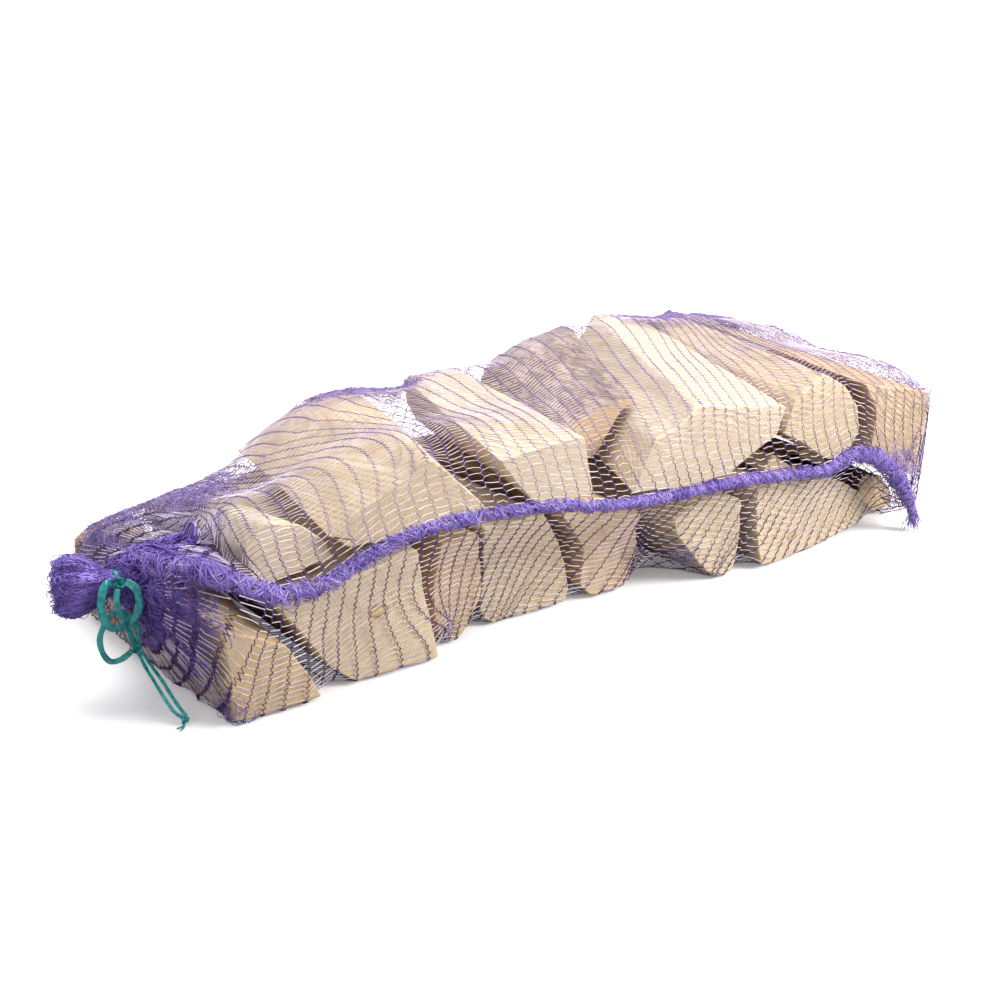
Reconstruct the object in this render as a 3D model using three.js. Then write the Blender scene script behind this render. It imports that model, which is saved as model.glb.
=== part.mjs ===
// A bundle of split firewood in a knitted net bag, lying on its long side.
// Millimetres, +Z up. The bag's long axis runs along X, with its tied neck at -X. The logs lie
// across it, along Y, in two layers, and show their sawn ends on the -Y side.
import * as THREE from 'three';

// ---- driving dimensions --------------------------------------------------------------------
const netThickness = 1.2;      // the knitted net, drawn as a plain skin
const netClearance = 0.5;      // between the skin and the wood
const netSides = 20;           // sides of the skin's cross-section
const netStep = 26;            // distance between two cross-sections of the skin
const netEndStep = 8;          // the same near the two ends, where the wood stops at uneven places
const netEndSteps = 4;
const logLift = netThickness + netClearance;   // the lowest logs lie on the skin
const logStations = 5;         // cross-sections along one log
const neck = { x: -44, y: 84, z: 96, radius: 9 };       // where the tie closes the bag
const neckLength = 8;
const mouth = { x: -82, y: 100, z: 93, radius: 20 };    // the loose frill outside the tie
const seamRadius = 4;          // the gathered ridge along the front
const tapeRadius = 1.2;        // the tie's narrow tape, as a plain tube
const tubeSides = 8;
const gap = 0.3;               // kept between touching pieces

const wood = { pale: 0xdcc6a2, white: 0xe9dcc0, tan: 0xcbab80, grey: 0xa8957e, bark: 0x7a573a };
const netColour = 0x6e50b4;
const tapeColour = 0x1f9e94;

// ---- the logs ------------------------------------------------------------------------------
// front and back are the outlines of a log's two ends, as [x, z] corners, anticlockwise seen
// from the front. y is where each end lies, turn swings the front end's right side back, and
// bow lifts the middle of the log.
const logs = [
  // upper layer, from the neck to the closed end
  { name: 'log_upper_1', colour: wood.pale, y: [30, 250], bow: 0,
    front: [[36, 86], [104, 95], [95, 112], [76, 129], [46, 137], [28, 119]],
    back: [[34, 68], [104, 76], [102, 83], [88, 90], [58, 92], [36, 82]] },
  { name: 'log_upper_2', colour: wood.pale, y: [18, 290], bow: 3,
    front: [[88, 118], [109, 104], [226, 104], [232, 114], [184, 162], [176, 165], [160, 152], [118, 136]],
    back: [[139, 106], [152, 100], [286, 101], [294, 110], [268, 143], [250, 145], [212, 143], [172, 126]] },
  { name: 'log_upper_3', colour: wood.white, y: [18, 296], bow: 1,
    front: [[258, 126], [285, 101], [341, 101], [328, 157], [240, 152]],
    back: [[322, 122], [334, 100], [390, 100], [378, 151], [318, 148]] },
  { name: 'log_upper_4', colour: wood.grey, y: [82, 288], bow: 2,
    front: [[347, 128], [373, 104], [392, 112], [415, 143], [436, 155], [420, 158], [386, 152], [354, 142]],
    back: [[402, 134], [412, 106], [460, 106], [487, 150], [519, 173], [505, 178], [462, 170], [418, 154]] },
  { name: 'log_upper_5', colour: wood.white, y: [12, 282], bow: 0,
    front: [[373, 97], [440, 91], [484, 93], [517, 109], [544, 121], [555, 148], [444, 165],
      [427, 151], [395, 141]],
    back: [[474, 104], [510, 98], [560, 100], [590, 112], [610, 134], [616, 170], [540, 187],
      [528, 168], [496, 146]] },
  { name: 'log_upper_6', colour: wood.pale, y: [12, 286], bow: 0,
    front: [[549, 119], [575, 107], [613, 83], [643, 89], [653, 107], [650, 129], [627, 157],
      [600, 172], [560, 150]],
    back: [[616, 128], [626, 106], [650, 94], [674, 96], [682, 114], [682, 138], [672, 162],
      [648, 176], [622, 166]] },
  { name: 'log_upper_7', colour: wood.tan, y: [5, 304], bow: 0,
    front: [[658, 82], [690, 61], [744, 48], [744, 134], [642, 157], [661, 131], [664, 107]],
    back: [[690, 86], [702, 66], [740, 60], [737, 150], [690, 164], [692, 146], [691, 112]] },
  // lower layer
  { name: 'log_lower_1', colour: wood.tan, y: [0, 272], bow: 0,
    front: [[0, 0], [74, 0], [69, 12], [47, 51], [14, 67], [-4, 75]],
    back: [[-22, 0], [52, 0], [56, 36], [38, 62], [6, 74], [-20, 64]] },
  { name: 'log_lower_2', colour: wood.pale, y: [8, 292], bow: 0,
    front: [[104, 0], [180, 0], [169, 54], [162, 98], [78, 82], [43, 76], [83, 17]],
    back: [[98, 0], [176, 0], [174, 50], [164, 90], [84, 64], [64, 58], [68, 20]] },
  { name: 'log_lower_3', colour: wood.tan, y: [28, 288], bow: 0,
    front: [[199, 0], [209, 0], [221, 13], [233, 32], [231, 90], [193, 88], [189, 68], [184, 45], [190, 10]],
    back: [[192, 0], [216, 0], [228, 12], [233, 34], [230, 86], [192, 84], [188, 66], [186, 44], [186, 12]] },
  { name: 'log_lower_4', colour: wood.pale, y: [40, 296], bow: 0,
    front: [[248, 0], [328, 0], [332, 11], [327, 41], [318, 64], [302, 90], [242, 86], [238, 12]],
    back: [[250, 0], [316, 0], [326, 16], [324, 42], [318, 62], [298, 88], [241, 82], [238, 14]] },
  { name: 'log_lower_5', colour: wood.tan, y: [36, 290], bow: 0,
    front: [[352, 0], [384, 0], [394, 4], [406, 25], [401, 52], [408, 68], [360, 91], [311, 93], [326, 72],
      [341, 48], [338, 14]],
    back: [[352, 0], [388, 0], [398, 8], [410, 26], [410, 52], [408, 70], [364, 88], [316, 88], [330, 68],
      [338, 46], [336, 16]] },
  { name: 'log_lower_6', colour: wood.pale, y: [8, 284], bow: 0,
    front: [[470, 0], [491, 0], [497, 9], [500, 37], [500, 71], [485, 79], [457, 80], [418, 66], [422, 52],
      [439, 30], [455, 13]],
    back: [[446, 0], [488, 0], [499, 10], [502, 36], [500, 62], [488, 76], [456, 78], [424, 66], [420, 48],
      [424, 28], [434, 10]] },
  { name: 'log_lower_7', colour: wood.pale, y: [4, 284], bow: 0, turn: 0.13,
    front: [[542, 0], [600, 0], [655, 3], [692, 12], [690, 24], [668, 44], [625, 66], [512, 79], [509, 70],
      [511, 40], [520, 2]],
    back: [[540, 0], [600, 0], [650, 2], [680, 10], [684, 26], [660, 50], [612, 68], [520, 80], [513, 66],
      [512, 36], [522, 4]] },
  { name: 'log_lower_8', colour: wood.bark, y: [48, 292], bow: 0,
    front: [[704, 0], [750, 0], [757, 10], [734, 38], [708, 44], [700, 38]],
    back: [[698, 0], [740, 0], [746, 12], [734, 42], [705, 49], [694, 40]] },
  // two thin pieces that slipped between the layers
  { name: 'log_thin_1', colour: wood.pale, y: [34, 246], bow: 0,
    front: [[549, 78], [598, 75], [562, 97]],
    back: [[560, 82], [600, 80], [578, 95]] },
  { name: 'log_thin_2', colour: wood.tan, y: [66, 268], bow: 0,
    front: [[634, 68], [668, 52], [673, 60], [640, 80], [608, 74]],
    back: [[634, 70], [664, 57], [676, 62], [644, 82], [614, 76]] },
];

// ---- the tie -------------------------------------------------------------------------------
// One flat tape: a band round the neck, a bow, a strand down to a second knot, a lower loop, and
// two tails that come together in a small knot on the floor. Routes are [x, y, z] points.
const bandWidth = 5;
const bandDepth = 1.6;
const knots = {
  tie_knot: { at: [-50, 70, 99], radius: 3.4 },
  tie_lower_knot: { at: [-43, 66, 48], radius: 2.6 },
  tie_end_knot: { at: [-27, 23, 3.2], radius: 2.8 },
};
const tapeRoutes = {
  tie_bow: [[-54.4, 69, 101], [-60, 67, 102], [-65, 65, 93], [-66, 64, 81], [-63, 64, 72], [-57, 64, 68],
    [-49, 63, 70], [-43, 60, 76], [-40, 59, 87], [-41, 61, 96], [-46, 67, 100.8]],
  tie_strand: [[-52, 66.4, 96.4], [-55, 63, 91], [-55, 60, 82], [-51, 59.4, 71], [-47, 60.6, 58],
    [-44.6, 63.4, 51]],
  tie_loop: [[-46, 67, 46.4], [-54, 67, 42], [-62, 67, 42], [-67, 67, 49], [-68, 69, 60], [-64, 71, 68],
    [-56, 72, 76], [-49, 71, 76], [-44, 69, 70], [-40, 68, 60], [-41.6, 67.6, 50.8]],
  tie_tail_left: [[-43, 63.2, 45.4], [-42, 54, 38], [-40, 44, 30], [-37, 35, 20], [-32, 29, 9],
    [-28, 25.6, 5]],
  tie_tail_right: [[-40.4, 64, 46], [-37.4, 53, 37], [-34, 43, 28.4], [-31, 35, 19], [-27, 29, 9.4],
    [-25, 25, 5.2]],
};

// The gathered ridge where the net's two edges are sewn together, from the neck to the far end.
const seamRoute = [[-34, 56, 114], [-18, 25, 116], [-4, 1, 116], [12, -8, 109], [32, -9, 98],
  [67, -9, 96], [102, -9, 107], [139, -9, 118], [171, -9, 121], [206, -9, 121], [283, -9, 114],
  [327, -9, 105], [384, -9, 100], [481, -9, 97], [560, -9, 90], [588, -9, 87], [619, -9, 95],
  [653, -9, 88], [691, -9, 56], [712, -9, 28],
  [718, -9, 12]];

// ---- building closed bodies ----------------------------------------------------------------
function material(colour, roughness) {
  return new THREE.MeshStandardMaterial({ color: colour, roughness, metalness: 0 });
}

function named(name, geometry, finish) {
  const mesh = new THREE.Mesh(geometry, finish);
  mesh.name = name;
  return mesh;
}

function bodyOf(positions, faces) {
  const geometry = new THREE.BufferGeometry();
  geometry.setAttribute('position', new THREE.Float32BufferAttribute(positions.flat(), 3));
  geometry.setIndex(faces.flat());
  geometry.computeVertexNormals();
  return geometry;
}

// Triangles that join two rings of n points, which start at the indices a and b.
function band(a, b, n) {
  const faces = [];
  for (let i = 0; i < n; i += 1) {
    const j = (i + 1) % n;
    faces.push([a + i, a + j, b + j], [a + i, b + j, b + i]);
  }
  return faces;
}

// A split log: the outline changes evenly from the front end to the back end.
function splitLog({ name, colour, y, bow, turn = 0, front, back }) {
  const n = front.length;
  const positions = [];
  const faces = [];
  for (let s = 0; s < logStations; s += 1) {
    const t = s / (logStations - 1);
    const lift = logLift + bow * 4 * t * (1 - t);
    front.forEach(([x, z], i) => {
      const frontY = y[0] + turn * (x - front[0][0]) * (1 - t);
      positions.push([
        THREE.MathUtils.lerp(x, back[i][0], t),
        THREE.MathUtils.lerp(frontY, y[1], t),
        THREE.MathUtils.lerp(z, back[i][1], t) + lift,
      ]);
    });
    if (s > 0) faces.push(...band(s * n, (s - 1) * n, n));
  }
  const corners = (outline) => outline.map(([x, z]) => new THREE.Vector2(x, z));
  const last = (logStations - 1) * n;
  THREE.ShapeUtils.triangulateShape(corners(front), []).forEach((face) => faces.push(face));
  THREE.ShapeUtils.triangulateShape(corners(back), [])
    .forEach(([a, b, c]) => faces.push([last + a, last + c, last + b]));
  return named(name, bodyOf(positions, faces), material(colour, 0.85));
}

// ---- the net bag ---------------------------------------------------------------------------
// A cross-section is kept as its reach in a fixed set of directions, so the largest of two
// reaches holds both, and a net drawn tight over the logs is the largest reach of the wood near.
const directions = Array.from({ length: netSides }, (_, k) => {
  const angle = (2 * Math.PI * k) / netSides - Math.PI / 2;
  return new THREE.Vector2(Math.cos(angle), Math.sin(angle));
});

function reachOfWood(x, points, span) {
  const near = points.filter((p) => Math.abs(p.x - x) <= span);
  return directions.map((out) => Math.max(...near.map((p) => p.y * out.x + p.z * out.y)) + netClearance);
}

function reachOfRing({ y, z, radius }) {
  return directions.map((out) => y * out.x + z * out.y + radius - netThickness);
}

function sectionCorners(x, reach) {
  return reach.map((far, k) => {
    const out = directions[k];
    const next = directions[(k + 1) % netSides];
    const nextFar = reach[(k + 1) % netSides];
    const cross = out.x * next.y - out.y * next.x;
    return [x, (far * next.y - nextFar * out.y) / cross, (out.x * nextFar - next.x * far) / cross];
  });
}

// Points every few millimetres along the logs' edges.
function woodPoints(logMeshes) {
  const points = [];
  logMeshes.forEach(({ geometry }) => {
    const at = geometry.attributes.position;
    const n = at.count / logStations;
    for (let i = 0; i < at.count; i += 1) {
      const from = new THREE.Vector3().fromBufferAttribute(at, i);
      const neighbours = [i % n === n - 1 ? i - n + 1 : i + 1, i + n].filter((j) => j < at.count);
      neighbours.forEach((j) => {
        const to = new THREE.Vector3().fromBufferAttribute(at, j);
        const parts = Math.ceil(from.distanceTo(to) / 3);
        for (let s = 0; s <= parts; s += 1) points.push(from.clone().lerp(to, s / parts));
      });
    }
  });
  return points;
}

function netBag(logMeshes) {
  const points = woodPoints(logMeshes);
  const lowX = Math.min(...points.map((p) => p.x)) - netClearance;
  const highX = Math.max(...points.map((p) => p.x)) + netClearance;
  const bodyX = lowX + netEndSteps * netEndStep;
  const bodyEndX = highX - netEndSteps * netEndStep;
  const count = Math.ceil((bodyEndX - bodyX) / netStep);
  const stations = [];
  for (let i = 0; i < netEndSteps; i += 1) stations.push(lowX + i * netEndStep);
  for (let i = 0; i <= count; i += 1) stations.push(THREE.MathUtils.lerp(bodyX, bodyEndX, i / count));
  for (let i = 1; i <= netEndSteps; i += 1) stations.push(bodyEndX + i * netEndStep);

  // between the neck and the first full cross-section the net is drawn straight to the tie
  const full = reachOfWood(bodyX, points, netStep + 1);
  const tied = reachOfRing(neck);
  const sections = [
    { x: mouth.x, reach: reachOfRing(mouth) },
    { x: neck.x - neckLength, reach: tied },
    { x: neck.x, reach: tied },
  ];
  stations.forEach((x, i) => {
    const nearEnd = i < netEndSteps || i > netEndSteps + count;
    const span = 1 + (nearEnd ? netEndStep : netStep);
    const t = Math.min(1, (x - neck.x) / (bodyX - neck.x));
    const reach = reachOfWood(x, points, span)
      .map((far, k) => Math.max(far, THREE.MathUtils.lerp(tied[k], full[k], t)));
    if (i >= netEndSteps) reach[0] = netClearance - logLift;
    sections.push({ x, reach });
  });

  const rings = [];
  const lastSection = sections.length - 1;
  sections.forEach(({ x, reach }, i) => {
    const outside = reach.map((far) => far + netThickness);
    rings.push(sectionCorners(i === lastSection ? x + netThickness : x, outside));
  });
  sections.reverse().forEach(({ x, reach }) => rings.push(sectionCorners(x, reach)));
  const faces = [];
  rings.forEach((_, r) => {
    const next = (r + 1) % rings.length;
    if (r !== lastSection) faces.push(...band(r * netSides, next * netSides, netSides));
  });
  for (let k = 1; k < netSides - 1; k += 1) {
    const out = lastSection * netSides;
    const inside = out + netSides;
    faces.push([out, out + k, out + k + 1], [inside, inside + k + 1, inside + k]);
  }
  return named('net_bag', bodyOf(rings.flat(), faces), material(netColour, 0.6));
}

// ---- tubes, band and knots -----------------------------------------------------------------
function tube(name, route, radius, steps, finish) {
  const path = new THREE.CatmullRomCurve3(route.map((p) => new THREE.Vector3(...p)), false, 'centripetal');
  const section = new THREE.Shape();
  for (let k = 0; k < tubeSides; k += 1) {
    const angle = (2 * Math.PI * k) / tubeSides;
    const corner = [radius * Math.cos(angle), radius * Math.sin(angle)];
    if (k === 0) section.moveTo(...corner);
    else section.lineTo(...corner);
  }
  section.closePath();
  const geometry = new THREE.ExtrudeGeometry(section, { steps, extrudePath: path, bevelEnabled: false });
  return named(name, geometry, finish);
}

function neckBand(finish) {
  const inner = neck.radius / Math.cos(Math.PI / netSides) + gap;
  const profile = [
    [inner, -bandWidth / 2], [inner + bandDepth, -bandWidth / 2], [inner + bandDepth, bandWidth / 2],
    [inner, bandWidth / 2], [inner, -bandWidth / 2],
  ].map(([r, h]) => new THREE.Vector2(r, h));
  const bandMesh = named('tie_band', new THREE.LatheGeometry(profile, 32), finish);
  bandMesh.rotation.z = -Math.PI / 2;
  bandMesh.position.set(neck.x - neckLength / 2, neck.y, neck.z);
  return bandMesh;
}

const tapeFinish = material(tapeColour, 0.35);
const tie = new THREE.Group();
tie.add(neckBand(tapeFinish));
Object.entries(knots).forEach(([name, { at, radius }]) => {
  const knot = named(name, new THREE.SphereGeometry(radius, 10, 7), tapeFinish);
  knot.position.set(...at);
  tie.add(knot);
});
Object.entries(tapeRoutes).forEach(([name, route]) => {
  tie.add(tube(name, route, tapeRadius, 6 * (route.length - 1), tapeFinish));
});

// ---- the bundle, with its origin under the middle of everything but the loose tape ---------
const model = new THREE.Group();
const logMeshes = logs.map(splitLog);
const bag = netBag(logMeshes);
const seam = tube('net_seam', seamRoute, seamRadius, 76, material(netColour, 0.6));
model.add(...logMeshes, bag, seam, tie);

const held = new THREE.Box3();
const heldTie = tie.children.filter(({ name }) => name === 'tie_band' || name === 'tie_knot');
[...logMeshes, bag, seam, ...heldTie].forEach((mesh) => held.expandByObject(mesh, true));
const middle = held.getCenter(new THREE.Vector3());
model.position.set(-middle.x, -middle.y, -held.min.z);

export default model;
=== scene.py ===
import math

import bmesh
import bpy
import numpy as np
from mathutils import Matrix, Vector
from mathutils.bvhtree import BVHTree


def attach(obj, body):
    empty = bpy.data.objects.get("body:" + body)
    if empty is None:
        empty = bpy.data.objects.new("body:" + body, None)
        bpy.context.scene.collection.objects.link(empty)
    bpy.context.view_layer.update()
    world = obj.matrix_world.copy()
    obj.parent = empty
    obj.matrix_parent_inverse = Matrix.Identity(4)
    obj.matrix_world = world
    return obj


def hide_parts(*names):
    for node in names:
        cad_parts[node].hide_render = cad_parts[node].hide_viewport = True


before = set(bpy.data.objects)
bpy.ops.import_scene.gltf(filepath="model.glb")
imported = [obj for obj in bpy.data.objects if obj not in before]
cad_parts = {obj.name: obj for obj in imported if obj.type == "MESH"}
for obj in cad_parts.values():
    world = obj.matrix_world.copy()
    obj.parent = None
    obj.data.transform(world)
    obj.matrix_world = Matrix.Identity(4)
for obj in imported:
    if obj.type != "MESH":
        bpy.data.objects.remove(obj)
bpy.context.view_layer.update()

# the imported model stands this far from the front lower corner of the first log,
# which is where every route below is measured from, in millimetres
rowShift = Vector((-0.33835, -0.14642, 0.0))


def place(x, y, z):
    return Vector((x, y, z)) / 1000 + rowShift


# ---- camera, floor and lights --------------------------------------------------------------
cameraSet = {
    "from": (-0.6813, -0.9833, 0.4829),
    "to": (-0.03235, -0.03742, 0.08),
    "lens": 50,
}
lights = {
    # name: (where, size, watts, colour)
    "key softbox": ((1.05, -1.3, 1.05), 0.9, 44, (1.0, 0.985, 0.965)),
    "top softbox": ((0.1, 0.35, 1.9), 1.7, 36, (1.0, 0.995, 0.98)),
    "left fill": ((-1.9, -0.9, 0.9), 1.0, 4, (0.96, 0.97, 1.0)),
}
worldSet = {"strength": 0.58, "colour": (1.0, 0.99, 0.98, 1)}


def aim(thing, target):
    way = Vector(target) - thing.location
    thing.rotation_euler = way.to_track_quat("-Z", "Y").to_euler()


def addCamera():
    data = bpy.data.cameras.new("camera")
    data.lens = cameraSet["lens"]
    data.sensor_width = 36
    data.clip_start = 0.02
    camera = bpy.data.objects.new("camera", data)
    bpy.context.scene.collection.objects.link(camera)
    camera.location = cameraSet["from"]
    aim(camera, cameraSet["to"])
    bpy.context.scene.camera = camera


def addLights():
    for name, (where, size, watts, colour) in lights.items():
        data = bpy.data.lights.new(name, "AREA")
        data.shape = "DISK"
        data.size = size
        data.energy = watts
        data.color = colour
        lamp = bpy.data.objects.new(name, data)
        bpy.context.scene.collection.objects.link(lamp)
        lamp.location = where
        aim(lamp, (0, 0, 0.06))
    world = bpy.data.worlds.new("studio")
    bpy.context.scene.world = world
    world.use_nodes = True
    tree = world.node_tree
    soft = tree.nodes["Background"]
    soft.inputs["Color"].default_value = worldSet["colour"]
    soft.inputs["Strength"].default_value = worldSet["strength"]
    wall = tree.nodes.new("ShaderNodeBackground")      # what is seen behind the floor
    wall.inputs["Color"].default_value = (1, 1, 1, 1)
    wall.inputs["Strength"].default_value = 1.05
    pick, path = tree.nodes.new("ShaderNodeMixShader"), tree.nodes.new("ShaderNodeLightPath")
    tree.links.new(path.outputs["Is Camera Ray"], pick.inputs["Fac"])
    tree.links.new(soft.outputs[0], pick.inputs[1])
    tree.links.new(wall.outputs[0], pick.inputs[2])
    tree.links.new(pick.outputs[0], tree.nodes["World Output"].inputs["Surface"])
    bpy.context.scene.view_settings.view_transform = "Standard"


# ---- small helpers for mesh and nodes ------------------------------------------------------
def newPiece(name, verts, faces, material, smooth=False):
    mesh = bpy.data.meshes.new(name)
    mesh.from_pydata([tuple(v) for v in verts], [], faces)
    mesh.materials.append(material)
    if smooth:
        mesh.shade_smooth()
    piece = bpy.data.objects.new(name, mesh)
    bpy.context.scene.collection.objects.link(piece)
    return piece


def fastPiece(name, verts, faces, material, smooth=True):
    # verts (n, 3) and faces (m, 3 or 4) as arrays
    mesh = bpy.data.meshes.new(name)
    count, corners = faces.shape
    mesh.vertices.add(len(verts))
    mesh.vertices.foreach_set("co", np.ascontiguousarray(verts, np.float32).ravel())
    mesh.loops.add(count * corners)
    mesh.loops.foreach_set("vertex_index", np.ascontiguousarray(faces, np.int32).ravel())
    mesh.polygons.add(count)
    mesh.polygons.foreach_set("loop_start", np.arange(0, count * corners, corners, dtype=np.int32))
    mesh.update(calc_edges=True)
    mesh.validate()
    if smooth:
        mesh.shade_smooth()
    mesh.materials.append(material)
    piece = bpy.data.objects.new(name, mesh)
    bpy.context.scene.collection.objects.link(piece)
    return piece


def newGroup(name, inputs, outputs):
    group = bpy.data.node_groups.new(name, "ShaderNodeTree")
    for title, kind, value in inputs:
        socket = group.interface.new_socket(name=title, in_out="INPUT", socket_type=kind)
        if value is not None:
            socket.default_value = value
    for title, kind in outputs:
        group.interface.new_socket(name=title, in_out="OUTPUT", socket_type=kind)
    return group, group.nodes.new("NodeGroupInput"), group.nodes.new("NodeGroupOutput")


class Wiring:
    # a thin hand for wiring nodes: each call makes one node and returns its first output
    def __init__(self, tree):
        self.tree = tree

    def feed(self, socket, value):
        if hasattr(value, "links"):
            self.tree.links.new(value, socket)
        elif value is not None:
            socket.default_value = value

    def math(self, operation, a, b=None, c=None, clamp=False):
        node = self.tree.nodes.new("ShaderNodeMath")
        node.operation = operation
        node.use_clamp = clamp
        for socket, value in zip(node.inputs, (a, b, c)):
            self.feed(socket, value)
        return node.outputs[0]

    def vector(self, operation, a, b=None):
        node = self.tree.nodes.new("ShaderNodeVectorMath")
        node.operation = operation
        self.feed(node.inputs[0], a)
        if operation == "SCALE":
            self.feed(node.inputs["Scale"], b)
        elif b is not None:
            self.feed(node.inputs[1], b)
        return node.outputs["Value"] if operation in ("LENGTH", "DOT_PRODUCT", "DISTANCE") else node.outputs[0]

    def noise(self, vector, scale, detail=3.0, roughness=0.55, distortion=0.0):
        node = self.tree.nodes.new("ShaderNodeTexNoise")
        self.feed(node.inputs["Vector"], vector)
        self.feed(node.inputs["Scale"], scale)
        self.feed(node.inputs["Detail"], detail)
        self.feed(node.inputs["Roughness"], roughness)
        self.feed(node.inputs["Distortion"], distortion)
        return node.outputs["Fac"]

    def cells(self, vector, scale, feature="DISTANCE_TO_EDGE"):
        node = self.tree.nodes.new("ShaderNodeTexVoronoi")
        node.feature = feature
        self.feed(node.inputs["Vector"], vector)
        self.feed(node.inputs["Scale"], scale)
        return node.outputs["Distance"]

    def spread(self, value, low, high, toLow=0.0, toHigh=1.0, smooth=True):
        node = self.tree.nodes.new("ShaderNodeMapRange")
        node.interpolation_type = "SMOOTHSTEP" if smooth else "LINEAR"
        for title, number in (("From Min", low), ("From Max", high), ("To Min", toLow), ("To Max", toHigh)):
            self.feed(node.inputs[title], number)
        self.feed(node.inputs["Value"], value)
        return node.outputs["Result"]

    def mix(self, mask, a, b, blend="MIX"):
        node = self.tree.nodes.new("ShaderNodeMix")
        node.data_type = "RGBA"
        node.blend_type = blend
        self.feed(node.inputs[0], mask)
        self.feed(node.inputs[6], a)
        self.feed(node.inputs[7], b)
        return node.outputs[2]

    def split(self, vector):
        node = self.tree.nodes.new("ShaderNodeSeparateXYZ")
        self.feed(node.inputs[0], vector)
        return node.outputs

    def join(self, x, y, z):
        node = self.tree.nodes.new("ShaderNodeCombineXYZ")
        for socket, value in zip(node.inputs, (x, y, z)):
            self.feed(socket, value)
        return node.outputs[0]

    def bump(self, height, strength, distance):
        node = self.tree.nodes.new("ShaderNodeBump")
        self.feed(node.inputs["Height"], height)
        node.inputs["Strength"].default_value = strength
        node.inputs["Distance"].default_value = distance
        return node.outputs["Normal"]

    def use(self, group, **values):
        node = self.tree.nodes.new("ShaderNodeGroup")
        node.node_tree = group
        for title, value in values.items():
            self.feed(node.inputs[title.replace("_", " ")], value)
        return node.outputs


def rgb(r, g, b):
    # screen values 0-255 to the linear ones that nodes want
    def lin(v):
        v /= 255
        return v / 12.92 if v <= 0.04045 else ((v + 0.055) / 1.055) ** 2.4
    return (lin(r), lin(g), lin(b), 1)


def newMaterial(name):
    material = bpy.data.materials.new(name)
    material.use_nodes = True
    tree = material.node_tree
    return material, Wiring(tree), tree.nodes["Principled BSDF"]


def objectPoint(net):
    return net.tree.nodes.new("ShaderNodeTexCoord").outputs["Object"]


# ---- the tie: one flat tape in its loose stretches -----------------------------------------
tieSet = {
    "thick": 0.28,
    "crinkle": 0.16,     # how much its surface wanders
    "routes": {
        "tie_bow": [(-54.4, 69, 101), (-60, 67, 102), (-65, 65, 93), (-66, 64, 81), (-63, 64, 72),
                    (-57, 64, 68), (-49, 63, 70), (-43, 60, 76), (-40, 59, 87), (-41, 61, 96),
                    (-46, 67, 100.8)],
        "tie_strand": [(-52, 66.4, 96.4), (-55, 63, 91), (-55, 60, 82), (-51, 59.4, 71),
                       (-47, 60.6, 58), (-44.6, 63.4, 51)],
        "tie_loop": [(-46, 67, 46.4), (-54, 67, 42), (-62, 67, 42), (-67, 67, 49), (-68, 69, 60),
                     (-64, 71, 68), (-56, 72, 76), (-49, 71, 76), (-44, 69, 70), (-40, 68, 60),
                     (-41.6, 67.6, 50.8)],
        "tie_tail_left": [(-43, 63.2, 45.4), (-42, 54, 38), (-40, 44, 30), (-37, 35, 20), (-32, 29, 9),
                          (-28, 25.6, 5)],
        "tie_tail_right": [(-40.4, 64, 46), (-37.4, 53, 37), (-34, 43, 28.4), (-31, 35, 19),
                           (-27, 29, 9.4), (-25, 25, 5.2)],
    },
    "widths": {"tie_bow": 5.6, "tie_strand": 4.4, "tie_loop": 4.2, "tie_tail_left": 2.6, "tie_tail_right": 2.6},
    "knotsOn": {"tie_strand": ("tie_lower_knot",), "tie_tail_left": ("tie_end_knot",)},
    "farEnds": {"tie_bow": "object", "tie_strand": "knot", "tie_loop": "knot",
                "tie_tail_left": "knot", "tie_tail_right": "knot"},
}


def smoothRoute(points, step=0.001):
    # a centripetal curve through the points, sampled evenly
    p = [np.array(q, float) for q in points]
    p = [2 * p[0] - p[1]] + p + [2 * p[-1] - p[-2]]
    fine = []
    for i in range(1, len(p) - 2):
        a, b, c, d = p[i - 1:i + 3]
        t0 = 0.0
        t1 = t0 + np.linalg.norm(b - a) ** 0.5
        t2 = t1 + np.linalg.norm(c - b) ** 0.5
        t3 = t2 + np.linalg.norm(d - c) ** 0.5
        for t in np.linspace(t1, t2, 24, endpoint=False):
            a1 = (t1 - t) / (t1 - t0) * a + (t - t0) / (t1 - t0) * b
            a2 = (t2 - t) / (t2 - t1) * b + (t - t1) / (t2 - t1) * c
            a3 = (t3 - t) / (t3 - t2) * c + (t - t2) / (t3 - t2) * d
            b1 = (t2 - t) / (t2 - t0) * a1 + (t - t0) / (t2 - t0) * a2
            b2 = (t3 - t) / (t3 - t1) * a2 + (t - t1) / (t3 - t1) * a3
            fine.append((t2 - t) / (t2 - t1) * b1 + (t - t1) / (t2 - t1) * b2)
    fine.append(p[-2])
    fine = np.array(fine)
    runs = np.concatenate([[0], np.cumsum(np.linalg.norm(np.diff(fine, axis=0), axis=1))])
    marks = np.linspace(0, runs[-1], max(4, int(round(runs[-1] / step)) + 1))
    return np.stack([np.interp(marks, runs, fine[:, k]) for k in range(3)], 1), runs[-1]


def routeFrames(line, up=(0, -1, 0.35)):
    # along, across and outward at each point; outward leans towards up
    along = np.gradient(line, axis=0)
    along /= np.linalg.norm(along, axis=1, keepdims=True)
    out = np.array(up, float) / np.linalg.norm(up)
    out = out - along * (along @ out)[:, None]
    out /= np.maximum(np.linalg.norm(out, axis=1, keepdims=True), 1e-9)
    across = np.cross(along, out)
    return along, across, out


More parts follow.
